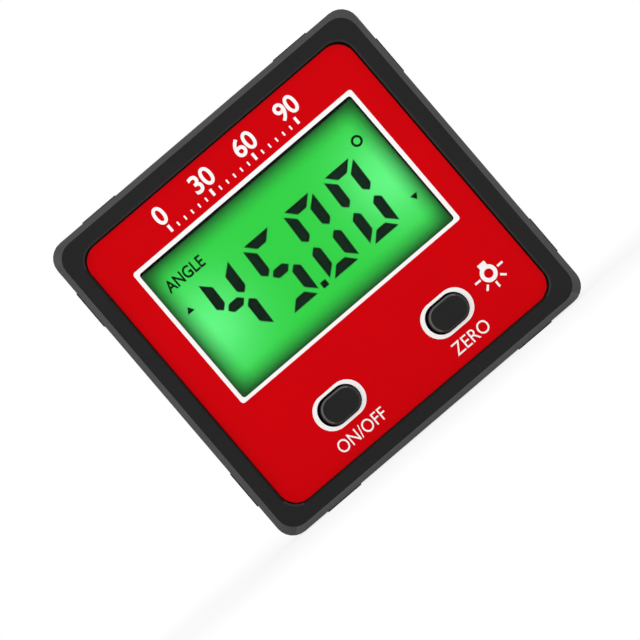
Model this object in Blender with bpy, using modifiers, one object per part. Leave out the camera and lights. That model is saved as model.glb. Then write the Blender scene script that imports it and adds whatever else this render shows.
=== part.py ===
"""Digital inclinometer: a square angle box with a lit display, two keys and magnets on all four sides.

Metres, +Z up. The front faces -Y, and the object stands on its lower pads at z = 0.
Heights named with the word up are measured from the middle of the case.
"""
import math

import bmesh
import bpy
from mathutils import Matrix, Vector

# Case
BEZEL_SIDE = 0.0037
BEZEL_TOP = 0.0036
BODY_CORNER = 0.003
FRONT_CHAMFER = 0.00095
REAR_CHAMFER = 0.0006
RIM_CHAMFER = 0.0003
WALL = 0.0018
FRONT_WALL = 0.0014
LIP_LENGTH = 0.001
LIP_WALL = 0.0008
CAVITY_CORNER = 0.0012

# Fits
SEAT_GAP = 0.0003
SIDE_GAP = 0.0004
OVERRUN = 0.0005

# Side pads and magnets
PAD_RISE = 0.0002
PAD_WIDTH = 0.0065
PAD_ROOT = 0.0006
PAD_END_SETBACK = 0.003
TOP_PAD_INSET = 0.01075
SIDE_PAD_INSET = 0.0107
MAGNET_RADIUS = 0.0025
MAGNET_THICKNESS = 0.0011
MAGNET_RECESS = 0.0001
MAGNET_SETBACK = 0.0105

# Faceplate
FACEPLATE_CORNER = 0.0027
FACEPLATE_THICKNESS = 0.001
FACEPLATE_RECESS = 0.0008
FACEPLATE_GAP = 0.00025

# Display
WINDOW_HEIGHT = 0.0243
WINDOW_CORNER = 0.0005
WINDOW_SHIFT = 0.00016
WINDOW_SIDE_MARGIN = 0.0052
WINDOW_TOP_MARGIN = 0.00803
KEY_BAND = 0.01787
LENS_MARGIN = 0.0005
LENS_THICKNESS = 0.001
MASK_THICKNESS = 0.0003
MASK_LINE = 0.00024
MASK_OVERLAP = 0.0002
GLASS_THICKNESS = 0.002
GLASS_SIDE_MARGIN = 0.0023
GLASS_TOP_MARGIN = 0.0021
GLASS_FOOT_EDGE = 0.0009
GUIDE_MARGIN = 0.0007
GUIDE_THICKNESS = 0.0019
LED_WIDTH = 0.0012
LED_HEIGHT = 0.003
STRIP_HEIGHT = 0.0022
STRIP_INSET = 0.0009

# Keys
KEY_HOLE_WIDTH = 0.00735
KEY_HOLE_HEIGHT = 0.00485
KEY_SIDE_GAP = 0.00027
KEY_TOP_GAP = 0.00017
KEY_SHIFT_X = 0.00013
KEY_SHIFT_UP = -0.00006
KEY_EDGE = 0.0003
KEY_RISE = 0.0006
KEY_ABOVE_EDGE = 0.0076
KEY_PITCH = 0.0215
KEY_PAIR_SHIFT = 0.00025
KEY_FLANGE_MARGIN = 0.0008
KEY_FLANGE = 0.0008

# Tact switches
SWITCH_SIDE = 0.006
SWITCH_EDGE = 0.0003
PLUNGER_RADIUS = 0.0015
PLUNGER_LENGTH = 0.0012
PLUNGER_RISE = 0.00045
PLUNGER_REST_GAP = 0.00035
PLUNGER_TRAVEL = 0.00025

# Circuit board
BOARD_THICKNESS = 0.0016
BOARD_NOTCH_CLEARANCE = 0.0004
BOARD_SCREW_INSET = 0.008
BOARD_SCREW_ABOVE_KEYS = 0.002
BOARD_SCREW_TOP_INSET = 0.0041
BOARD_BOSS_RADIUS = 0.0019
BOARD_SCREW_RADIUS = 0.0008
BOARD_SCREW_HEAD_RADIUS = 0.0017
BOARD_SCREW_HEAD = 0.0012
BOARD_SCREW_REACH = 0.0055
CHIP_SIDE = 0.007
CHIP_HEIGHT = 0.0012
CHIP_UP = 0.009
SENSOR_SIDE = 0.004
SENSOR_HEIGHT = 0.0011
SENSOR_X = 0.012
CRYSTAL_LENGTH = 0.007
CRYSTAL_WIDTH = 0.0026
CRYSTAL_HEIGHT = 0.0024
CRYSTAL_X = -0.011
CAPACITOR_RADIUS = 0.002
CAPACITOR_HEIGHT = 0.0034
CAPACITOR_PITCH = 0.0056
CAPACITOR_UP = -0.016
BOARD_REAR_CLEARANCE = 0.0024

# Case screws
POST_WALL = 0.0008
SCREW_INSET = 0.0055
BOSS_WALL = 0.0016
SCREW_RADIUS = 0.001
SCREW_HEAD_RADIUS = 0.0019
SCREW_HEAD = 0.0015
SCREW_HEAD_DEPTH = 0.0045
SCREW_LENGTH = 0.0195
SCREW_HOLE_GAP = 0.0003
CROSS_LENGTH = 0.0022
CROSS_WIDTH = 0.0005
CROSS_DEPTH = 0.0008

# Battery bay
CELL_LENGTH = 0.0445
CELL_RADIUS = 0.00525
CELL_EDGE = 0.0004
CELL_NUB_RADIUS = 0.0019
CELL_NUB = 0.0008
CELL_SPACING = 0.001
BAY_FLOOR = 0.0015
BAY_WALL = 0.0012
BAY_END_WALL = 0.0037
SPRING_LENGTH = 0.0042
SPRING_RADIUS = 0.0022
SPRING_WIRE = 0.0005
SPRING_TURNS = 3
SPRING_POINTS_PER_TURN = 10
CONTACT_THICKNESS = 0.0004
CONTACT_SIDE = 0.008
DIMPLE_RADIUS = 0.002
DIMPLE_HEIGHT = 0.0012
TAIL_WIDTH = 0.002
TAIL_GAP = 0.00025

# Battery door
DOOR_THICKNESS = 0.0018
DOOR_LEDGE = 0.0009
DOOR_CORNER = 0.001
TAB_THICKNESS = 0.0008
TAB_REACH = 0.0013
TAB_WIDTH = 0.005
TAB_INSET = 0.0117
TAB_SWING_CLEARANCE = 0.0007
LATCH_WIDTH = 0.0086
LATCH_HEIGHT = 0.0034
LATCH_THICKNESS = 0.0014
LATCH_PIVOT_INSET = 0.0003
LATCH_GROOVE = 0.0003
LATCH_GROOVE_PITCH = 0.0008
LATCH_GROOVES = 3

# Facets
CORNER_STEPS = 6
SMALL_CORNER_STEPS = 3
ROUND_SIDES = 24
SMALL_ROUND_SIDES = 16
SMOOTH_ANGLE = math.radians(35.0)
ROUND_END_SHARE = 0.98

# Places that follow from the sizes above
CELL_PITCH = 2 * CELL_RADIUS + CELL_SPACING
CELL_UP = CELL_PITCH / 2
BAY_HALF_UP = CELL_UP + CELL_RADIUS + SIDE_GAP
BAY_HALF_X = (CELL_LENGTH + SPRING_LENGTH + DIMPLE_HEIGHT + 2 * CONTACT_THICKNESS + 5 * SEAT_GAP) / 2
BODY_WIDTH = 2 * (BAY_HALF_X + BAY_END_WALL)
FACEPLATE_WIDTH = BODY_WIDTH - 2 * BEZEL_SIDE
FACEPLATE_HEIGHT = WINDOW_TOP_MARGIN + WINDOW_HEIGHT + KEY_BAND
BODY_HEIGHT = FACEPLATE_HEIGHT + 2 * BEZEL_TOP
WINDOW_WIDTH = FACEPLATE_WIDTH - 2 * WINDOW_SIDE_MARGIN
WINDOW_UP = FACEPLATE_HEIGHT / 2 - WINDOW_TOP_MARGIN - WINDOW_HEIGHT / 2
GUIDE_WIDTH = WINDOW_WIDTH + 2 * GUIDE_MARGIN
GUIDE_HEIGHT = WINDOW_HEIGHT + 2 * GUIDE_MARGIN
STRIP_TOP = WINDOW_UP - GUIDE_HEIGHT / 2 - SEAT_GAP
GLASS_LOW = STRIP_TOP - STRIP_HEIGHT - GLASS_FOOT_EDGE
GLASS_HIGH = WINDOW_UP + WINDOW_HEIGHT / 2 + GLASS_TOP_MARGIN
KEY_UP = KEY_ABOVE_EDGE - FACEPLATE_HEIGHT / 2
POWER_KEY_X = KEY_PAIR_SHIFT - KEY_PITCH / 2
ZERO_KEY_X = KEY_PAIR_SHIFT + KEY_PITCH / 2
BOARD_REAR_SPACE = SEAT_GAP + CAPACITOR_HEIGHT + BOARD_REAR_CLEARANCE
DEPTH = (FACEPLATE_RECESS + FACEPLATE_THICKNESS + FRONT_WALL + MASK_THICKNESS + GLASS_THICKNESS + GUIDE_THICKNESS
         + BOARD_THICKNESS + BOARD_REAR_SPACE + BAY_FLOOR + 2 * CELL_RADIUS + DOOR_THICKNESS + 7 * SEAT_GAP)
CENTRE_UP = PAD_RISE + BODY_HEIGHT / 2
FRONT_Y = -DEPTH / 2
REAR_Y = DEPTH / 2
PLATE_FRONT = FRONT_Y + FACEPLATE_RECESS
PLATE_BACK = PLATE_FRONT + FACEPLATE_THICKNESS
WALL_FRONT = PLATE_BACK + SEAT_GAP
WALL_BACK = WALL_FRONT + FRONT_WALL
MASK_FRONT = WALL_BACK + SEAT_GAP
MASK_BACK = MASK_FRONT + MASK_THICKNESS
GLASS_FRONT = MASK_BACK + SEAT_GAP
GLASS_BACK = GLASS_FRONT + GLASS_THICKNESS
ON_BOARD_FRONT = GLASS_BACK + SEAT_GAP + GUIDE_THICKNESS
BOARD_FRONT = ON_BOARD_FRONT + SEAT_GAP
BOARD_BACK = BOARD_FRONT + BOARD_THICKNESS
ON_BOARD_BACK = BOARD_BACK + SEAT_GAP
LIP_FRONT = ON_BOARD_BACK
REAR_HALF_START = LIP_FRONT + LIP_LENGTH
FRONT_HALF_END = REAR_HALF_START - SEAT_GAP
REAR_CAVITY_END = BOARD_BACK + BOARD_REAR_SPACE
BAY_BACK = REAR_CAVITY_END + BAY_FLOOR
CELL_Y = BAY_BACK + SEAT_GAP + CELL_RADIUS
DOOR_INNER = REAR_Y - DOOR_THICKNESS
REAR_WALL_INNER = REAR_Y - WALL
CAVITY_HALF_X = BODY_WIDTH / 2 - WALL
CAVITY_HALF_UP = BODY_HEIGHT / 2 - WALL
INNER_HALF_X = CAVITY_HALF_X - SEAT_GAP - LIP_WALL
INNER_HALF_UP = CAVITY_HALF_UP - SEAT_GAP - LIP_WALL
SCREW_X = BODY_WIDTH / 2 - SCREW_INSET
SCREW_UP = BODY_HEIGHT / 2 - SCREW_INSET
BOSS_RADIUS = SCREW_RADIUS + SCREW_HOLE_GAP + BOSS_WALL
POST_X = SCREW_X - SCREW_HEAD_RADIUS - SEAT_GAP - POST_WALL
POST_UP = SCREW_UP - SCREW_HEAD_RADIUS - SEAT_GAP - POST_WALL
BOARD_SCREW_X = CAVITY_HALF_X - BOARD_SCREW_INSET
BOARD_SCREW_LOW = KEY_UP + BOARD_SCREW_ABOVE_KEYS
BOARD_SCREW_HIGH = CAVITY_HALF_UP - BOARD_SCREW_TOP_INSET
TOP_PAD_X = BODY_WIDTH / 2 - TOP_PAD_INSET
SIDE_PAD_UP = BODY_HEIGHT / 2 - SIDE_PAD_INSET
REBATE_HALF_X = BAY_HALF_X + DOOR_LEDGE
REBATE_HALF_UP = BAY_HALF_UP + DOOR_LEDGE
DOOR_HALF_X = REBATE_HALF_X - SEAT_GAP
DOOR_HALF_UP = REBATE_HALF_UP - SEAT_GAP
TAB_X = DOOR_HALF_X - TAB_INSET
HINGE_UP = -(DOOR_HALF_UP + REBATE_HALF_UP) / 2
LATCH_LOW = DOOR_HALF_UP - LATCH_HEIGHT
MAGNET_Y = REAR_Y - MAGNET_SETBACK

FINISHES = {
    "case_black": ((0.0194, 0.0194, 0.0194), 0.55, 0.0),
    "plate_red": ((0.61, 0.0024, 0.006), 0.45, 0.0),
    "key_black": ((0.019, 0.019, 0.019), 0.4, 0.0),
    "clear_window": ((0.9, 0.95, 0.92), 0.05, 0.0),
    "mask_black": ((0.004, 0.004, 0.004), 0.8, 0.0),
    "display_green": ((0.042, 0.66, 0.073), 0.25, 0.0),
    "guide_green": ((0.12, 0.86, 0.24), 0.3, 0.0),
    "lamp_green": ((0.2, 0.9, 0.3), 0.3, 0.0),
    "strip_rubber": ((0.35, 0.18, 0.12), 0.8, 0.0),
    "board_green": ((0.01, 0.11, 0.035), 0.5, 0.0),
    "chip_black": ((0.012, 0.012, 0.013), 0.6, 0.0),
    "steel": ((0.5, 0.5, 0.52), 0.35, 1.0),
    "spring_steel": ((0.6, 0.6, 0.62), 0.3, 1.0),
    "contact_nickel": ((0.62, 0.6, 0.55), 0.28, 1.0),
    "cell_sleeve": ((0.02, 0.05, 0.16), 0.35, 0.0),
    "magnet_nickel": ((0.55, 0.55, 0.56), 0.22, 1.0),
    "capacitor_silver": ((0.6, 0.6, 0.62), 0.4, 1.0),
}


def clear_scene():
    for item in list(bpy.data.objects):
        bpy.data.objects.remove(item, do_unlink=True)


def make_finish(name):
    colour, roughness, metallic = FINISHES[name]
    finish = bpy.data.materials.new(name)
    finish.use_nodes = True
    shader = finish.node_tree.nodes["Principled BSDF"]
    shader.inputs["Base Color"].default_value = (*colour, 1.0)
    shader.inputs["Roughness"].default_value = roughness
    shader.inputs["Metallic"].default_value = metallic
    finish.diffuse_color = (*colour, 1.0)
    return finish


def make_collection(name):
    group = bpy.data.collections.new(name)
    bpy.context.scene.collection.children.link(group)
    return group


clear_scene()
PARTS = make_collection("digital_inclinometer")
CUTTERS = make_collection("cutters")
LOOKS = {name: make_finish(name) for name in FINISHES}


def place(name, shape, centre, finish):
    """Make an object from a bmesh. Without a finish it is a guide for cutting or joining."""
    mesh = bpy.data.meshes.new(name)
    shape.to_mesh(mesh)
    shape.free()
    item = bpy.data.objects.new(name, mesh)
    item.location = centre
    if finish is None:
        CUTTERS.objects.link(item)
        item.hide_render = True
        item.display_type = "WIRE"
    else:
        PARTS.objects.link(item)
        mesh.materials.append(LOOKS[finish])
    return item


def smooth(item):
    item.data.shade_smooth()
    item.data.set_sharp_from_angle(angle=SMOOTH_ANGLE)
    return item


def block(name, span_x, span_y, span_up, finish=None, corner=0.0, edge=0.0, steps=CORNER_STEPS, edge_steps=1,
          rear_edge=0.0):
    """A block between two limits on each axis. Its four edges along Y take the corner radius."""
    size = Vector((span_x[1] - span_x[0], span_y[1] - span_y[0], span_up[1] - span_up[0]))
    centre = Vector((sum(span_x) / 2, sum(span_y) / 2, CENTRE_UP + sum(span_up) / 2))
    shape = bmesh.new()
    bmesh.ops.create_cube(shape, size=1.0)
    bmesh.ops.scale(shape, vec=size, verts=shape.verts)
    if corner > 0.0:
        long_edges = [e for e in shape.edges if abs(e.verts[0].co.y - e.verts[1].co.y) > size.y / 2]
        bmesh.ops.bevel(shape, geom=long_edges, offset=corner, offset_type="OFFSET", segments=steps,
                        profile=0.5, affect="EDGES")
    for side, width in ((-1, edge), (1, rear_edge)):
        if width > 0.0:
            rim = [e for e in shape.edges if all(v.co.y * side > size.y / 2 - width / 2 for v in e.verts)]
            bmesh.ops.bevel(shape, geom=rim, offset=width, offset_type="OFFSET", segments=edge_steps,
                            profile=0.5, affect="EDGES")
    item = place(name, shape, centre, finish)
    if corner > 0.0:
        smooth(item)
    return item


def around(middle, size):
    return (middle - size / 2, middle + size / 2)


def rod(name, centre, radius, length, direction, finish=None, sides=ROUND_SIDES, tip_radius=None):
    """A cylinder about its centre, pointing along a direction. Its far end may be narrower."""
    shape = bmesh.new()
    turn = Vector((0, 0, 1)).rotation_difference(Vector(direction)).to_matrix().to_4x4()
    far_radius = radius if tip_radius is None else tip_radius
    bmesh.ops.create_cone(shape, cap_ends=True, cap_tris=False, segments=sides, radius1=radius,
                          radius2=far_radius, depth=length, matrix=turn)
    return smooth(place(name, shape, Vector(centre) + Vector((0, 0, CENTRE_UP)), finish))


def boolean(target, tool, operation):
    step = target.modifiers.new(tool.name, "BOOLEAN")
    step.operation = operation
    step.solver = "EXACT"
    step.object = tool


def cut(target, *tools):
    for tool in tools:
        boolean(target, tool, "DIFFERENCE")


def join(target, *tools):
    for tool in tools:
        boolean(target, tool, "UNION")


def set_origin(item, point):
    """Move an object's origin to a point without moving its mesh. Heights are from the middle of the case."""
    origin = Vector(point) + Vector((0, 0, CENTRE_UP))
    item.data.transform(Matrix.Translation(item.location - origin))
    item.location = origin


def pad_strips(prefix, span_y):
    """Guides for the raised pads of one half of the case: two on each of the four sides."""
    strips = []
    for side in (-1, 1):
        top_face = side * BODY_HEIGHT / 2
        side_face = side * BODY_WIDTH / 2
        span_up = sorted((top_face - side * PAD_ROOT, top_face + side * PAD_RISE))
        span_x = sorted((side_face - side * PAD_ROOT, side_face + side * PAD_RISE))
        for end in (-1, 1):
            label = f"{prefix}_{side}_{end}"
            strips.append(block(label + "_level", around(end * TOP_PAD_X, PAD_WIDTH), span_y, span_up))
            strips.append(block(label + "_upright", span_x, span_y, around(end * SIDE_PAD_UP, PAD_WIDTH)))
    return strips


def along_y(name, x, up, radius, span_y, finish=None, sides=SMALL_ROUND_SIDES):
    """A round bar along Y between two depths."""
    middle = (x, sum(span_y) / 2, up)
    return rod(name, middle, radius, span_y[1] - span_y[0], (0, 1, 0), finish, sides)


def window_hole(name, margin, span_y, corner):
    width = WINDOW_WIDTH + 2 * margin
    height = WINDOW_HEIGHT + 2 * margin
    return block(name, around(WINDOW_SHIFT, width), span_y, around(WINDOW_UP, height), corner=corner,
                 steps=SMALL_CORNER_STEPS)


def key_shape(name, x, up, margin_x, margin_up, span_y, finish=None, edge=0.0):
    """A bar with round ends along Y: a key hole, widened or narrowed by a margin each way."""
    width = KEY_HOLE_WIDTH + 2 * margin_x
    height = KEY_HOLE_HEIGHT + 2 * margin_up
    return block(name, around(x, width), span_y, around(up, height), finish,
                 corner=ROUND_END_SHARE * height / 2, edge=edge)


KEYS = (("power", POWER_KEY_X), ("zero", ZERO_KEY_X))
CORNERS = [(side_x, side_up) for side_up in (1, -1) for side_x in (-1, 1)]
BOARD_SCREWS = ((-BOARD_SCREW_X, BOARD_SCREW_LOW), (BOARD_SCREW_X, BOARD_SCREW_LOW), (0.0, BOARD_SCREW_HIGH))
SCREW_SEAT = REAR_Y - SCREW_HEAD_DEPTH
SCREW_TIP = SCREW_SEAT + SEAT_GAP - SCREW_LENGTH
BOARD_SCREW_TIP = ON_BOARD_BACK - BOARD_SCREW_REACH
FLANGE_FRONT = WALL_BACK + SEAT_GAP
FLANGE_BACK = FLANGE_FRONT + KEY_FLANGE
PLUNGER_FRONT = FLANGE_BACK + PLUNGER_REST_GAP
SWITCH_FRONT = PLUNGER_FRONT + PLUNGER_RISE
PLUNGER_WELL_END = PLUNGER_FRONT + PLUNGER_LENGTH + PLUNGER_TRAVEL + SEAT_GAP


def make_front_frame():
    span_y = (FRONT_Y, FRONT_HALF_END)
    frame = block("front_frame", around(0.0, BODY_WIDTH), span_y, around(0.0, BODY_HEIGHT), "case_black",
                  corner=BODY_CORNER, edge=FRONT_CHAMFER)
    join(frame, *pad_strips("front_pad", (FRONT_Y + PAD_END_SETBACK, FRONT_HALF_END)))
    recess_width = FACEPLATE_WIDTH + 2 * FACEPLATE_GAP
    recess_height = FACEPLATE_HEIGHT + 2 * FACEPLATE_GAP
    recess_corner = FACEPLATE_CORNER + FACEPLATE_GAP
    recess = block("plate_recess", around(0.0, recess_width), (FRONT_Y - OVERRUN, WALL_FRONT),
                   around(0.0, recess_height), corner=recess_corner)
    rim_depth = RIM_CHAMFER + OVERRUN
    rim = block("recess_rim", around(0.0, recess_width + 2 * RIM_CHAMFER), (FRONT_Y - OVERRUN, FRONT_Y + rim_depth),
                around(0.0, recess_height + 2 * RIM_CHAMFER), corner=recess_corner + RIM_CHAMFER,
                rear_edge=rim_depth)
    cavity = block("front_cavity", around(0.0, 2 * CAVITY_HALF_X), (WALL_BACK, FRONT_HALF_END + OVERRUN),
                   around(0.0, 2 * CAVITY_HALF_UP), corner=CAVITY_CORNER, steps=SMALL_CORNER_STEPS)
    through_wall = (WALL_FRONT - OVERRUN, WALL_BACK + OVERRUN)
    lens_hole = window_hole("lens_hole", LENS_MARGIN + SEAT_GAP, through_wall, WINDOW_CORNER + SEAT_GAP)
    cut(frame, recess, rim, cavity, lens_hole)
    for label, x in KEYS:
        cut(frame, key_shape(f"{label}_wall_hole", x, KEY_UP, 0.0, 0.0, through_wall))
    for number, (side_x, side_up) in enumerate(CORNERS, 1):
        centre = (side_x * SCREW_X, side_up * SCREW_UP)
        boss_span = (WALL_BACK - OVERRUN, LIP_FRONT - SEAT_GAP)
        join(frame, along_y(f"corner_boss_{number}", *centre, BOSS_RADIUS, boss_span))
        hole_span = (SCREW_TIP - SEAT_GAP, LIP_FRONT)
        cut(frame, along_y(f"corner_hole_{number}", *centre, SCREW_RADIUS + SCREW_HOLE_GAP, hole_span))
    for number, (x, up) in enumerate(BOARD_SCREWS, 1):
        boss_span = (WALL_BACK - OVERRUN, ON_BOARD_FRONT)
        join(frame, along_y(f"board_boss_{number}", x, up, BOARD_BOSS_RADIUS, boss_span))
        hole_span = (BOARD_SCREW_TIP - SEAT_GAP, ON_BOARD_FRONT + OVERRUN)
        cut(frame, along_y(f"board_boss_hole_{number}", x, up, BOARD_SCREW_RADIUS + SCREW_HOLE_GAP, hole_span))
    return frame


def make_faceplate():
    plate = block("faceplate", around(0.0, FACEPLATE_WIDTH), (PLATE_FRONT, PLATE_BACK),
                  around(0.0, FACEPLATE_HEIGHT), "plate_red", corner=FACEPLATE_CORNER)
    through_plate = (PLATE_FRONT - OVERRUN, PLATE_BACK + OVERRUN)
    cut(plate, window_hole("plate_window", 0.0, through_plate, WINDOW_CORNER))
    for label, x in KEYS:
        cut(plate, key_shape(f"{label}_plate_hole", x, KEY_UP, 0.0, 0.0, through_plate))


def make_display():
    block("window_lens", around(WINDOW_SHIFT, WINDOW_WIDTH + 2 * LENS_MARGIN), (WALL_FRONT, WALL_FRONT + LENS_THICKNESS),
          around(WINDOW_UP, WINDOW_HEIGHT + 2 * LENS_MARGIN), "clear_window", corner=WINDOW_CORNER,
          steps=SMALL_CORNER_STEPS)
    glass_x = around(WINDOW_SHIFT, WINDOW_WIDTH + 2 * GLASS_SIDE_MARGIN)
    glass_up = (GLASS_LOW, GLASS_HIGH)
    mask = block("lcd_mask", glass_x, (MASK_FRONT, MASK_BACK), glass_up, "mask_black")
    window_x = around(WINDOW_SHIFT, WINDOW_WIDTH)
    window_up = around(WINDOW_UP, WINDOW_HEIGHT)
    cut(mask, block("mask_hole", (window_x[0] - MASK_OVERLAP, window_x[1] - MASK_LINE),
                    (MASK_FRONT - OVERRUN, MASK_BACK + OVERRUN),
                    (window_up[0] - MASK_OVERLAP, window_up[1] - MASK_LINE)))
    block("lcd_glass", glass_x, (GLASS_FRONT, GLASS_BACK), glass_up, "display_green")
    behind_glass = (GLASS_BACK + SEAT_GAP, ON_BOARD_FRONT)
    block("light_guide", around(WINDOW_SHIFT, GUIDE_WIDTH), behind_glass, around(WINDOW_UP, GUIDE_HEIGHT),
          "guide_green")
    for label, side in (("left", -1), ("right", 1)):
        led_x = WINDOW_SHIFT + side * (GUIDE_WIDTH / 2 + SEAT_GAP + LED_WIDTH / 2)
        block(f"backlight_led_{label}", around(led_x, LED_WIDTH), behind_glass, around(WINDOW_UP, LED_HEIGHT),
              "lamp_green")
    block("contact_strip", around(WINDOW_SHIFT, WINDOW_WIDTH - 2 * STRIP_INSET), behind_glass,
          (STRIP_TOP - STRIP_HEIGHT, STRIP_TOP), "strip_rubber")


def make_keys():
    for label, x in KEYS:
        cap_span = (PLATE_FRONT - KEY_RISE, (FLANGE_FRONT + FLANGE_BACK) / 2)
        key = key_shape(f"{label}_button", x + KEY_SHIFT_X, KEY_UP + KEY_SHIFT_UP, -KEY_SIDE_GAP, -KEY_TOP_GAP,
                        cap_span, "key_black", edge=KEY_EDGE)
        join(key, key_shape(f"{label}_flange", x, KEY_UP, KEY_FLANGE_MARGIN, KEY_FLANGE_MARGIN,
                            (FLANGE_FRONT, FLANGE_BACK)))
        set_origin(key, (x, FLANGE_BACK, KEY_UP))
        body = block(f"{label}_switch_body", around(x, SWITCH_SIDE), (SWITCH_FRONT, ON_BOARD_FRONT),
                     around(KEY_UP, SWITCH_SIDE), "chip_black", corner=SWITCH_EDGE, steps=1)
        well_span = (SWITCH_FRONT - OVERRUN, PLUNGER_WELL_END)
        cut(body, along_y(f"{label}_plunger_well", x, KEY_UP, PLUNGER_RADIUS + SEAT_GAP, well_span))
        plunger = along_y(f"{label}_switch_plunger", x, KEY_UP, PLUNGER_RADIUS,
                          (PLUNGER_FRONT, PLUNGER_FRONT + PLUNGER_LENGTH), "key_black")
        set_origin(plunger, (x, PLUNGER_FRONT, KEY_UP))


def make_board():
    board_x = CAVITY_HALF_X - SIDE_GAP
    board_up = CAVITY_HALF_UP - SIDE_GAP
    board = block("circuit_board", (-board_x, board_x), (BOARD_FRONT, BOARD_BACK), (-board_up, board_up),
                  "board_green")
    through_board = (BOARD_FRONT - OVERRUN, BOARD_BACK + OVERRUN)
    notch_x = SCREW_X - BOSS_RADIUS - BOARD_NOTCH_CLEARANCE
    notch_up = SCREW_UP - BOSS_RADIUS - BOARD_NOTCH_CLEARANCE
    for number, (side_x, side_up) in enumerate(CORNERS, 1):
        cut(board, block(f"board_notch_{number}", sorted((side_x * notch_x, side_x * (board_x + OVERRUN))),
                         through_board, sorted((side_up * notch_up, side_up * (board_up + OVERRUN)))))
    for number, (x, up) in enumerate(BOARD_SCREWS, 1):
        hole_radius = BOARD_SCREW_RADIUS + SCREW_HOLE_GAP
        cut(board, along_y(f"board_hole_{number}", x, up, hole_radius, through_board))
        make_screw(f"board_screw_{number}", x, up, ON_BOARD_BACK, BOARD_SCREW_HEAD, BOARD_SCREW_HEAD_RADIUS,
                   BOARD_SCREW_RADIUS, BOARD_SCREW_TIP)
    block("microcontroller", around(0.0, CHIP_SIDE), (ON_BOARD_BACK, ON_BOARD_BACK + CHIP_HEIGHT),
          around(CHIP_UP, CHIP_SIDE), "chip_black")
    block("tilt_sensor", around(SENSOR_X, SENSOR_SIDE), (ON_BOARD_BACK, ON_BOARD_BACK + SENSOR_HEIGHT),
          around(0.0, SENSOR_SIDE), "chip_black")
    block("crystal", around(CRYSTAL_X, CRYSTAL_LENGTH), (ON_BOARD_BACK, ON_BOARD_BACK + CRYSTAL_HEIGHT),
          around(CHIP_UP, CRYSTAL_WIDTH), "steel", corner=ROUND_END_SHARE * CRYSTAL_WIDTH / 2,
          steps=SMALL_CORNER_STEPS)
    for number, side in ((1, -1), (2, 1)):
        along_y(f"capacitor_{number}", side * CAPACITOR_PITCH / 2, CAPACITOR_UP, CAPACITOR_RADIUS,
                (ON_BOARD_BACK, ON_BOARD_BACK + CAPACITOR_HEIGHT), "capacitor_silver")


def make_screw(name, x, up, seat, head, head_radius, shank_radius, tip):
    """A pan head screw whose head rests at a depth and whose shank runs forward to its tip."""
    screw = along_y(name, x, up, head_radius, (seat, seat + head), "steel")
    join(screw, along_y(f"{name}_shank", x, up, shank_radius, (tip, seat + head / 2)))
    cross_span = (seat + head - CROSS_DEPTH, seat + head + OVERRUN)
    arm = (CROSS_LENGTH * head_radius / SCREW_HEAD_RADIUS, CROSS_WIDTH)
    cut(screw, block(f"{name}_cross_level", around(x, arm[0]), cross_span, around(up, arm[1])),
        block(f"{name}_cross_upright", around(x, arm[1]), cross_span, around(up, arm[0])))
    return screw


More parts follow.
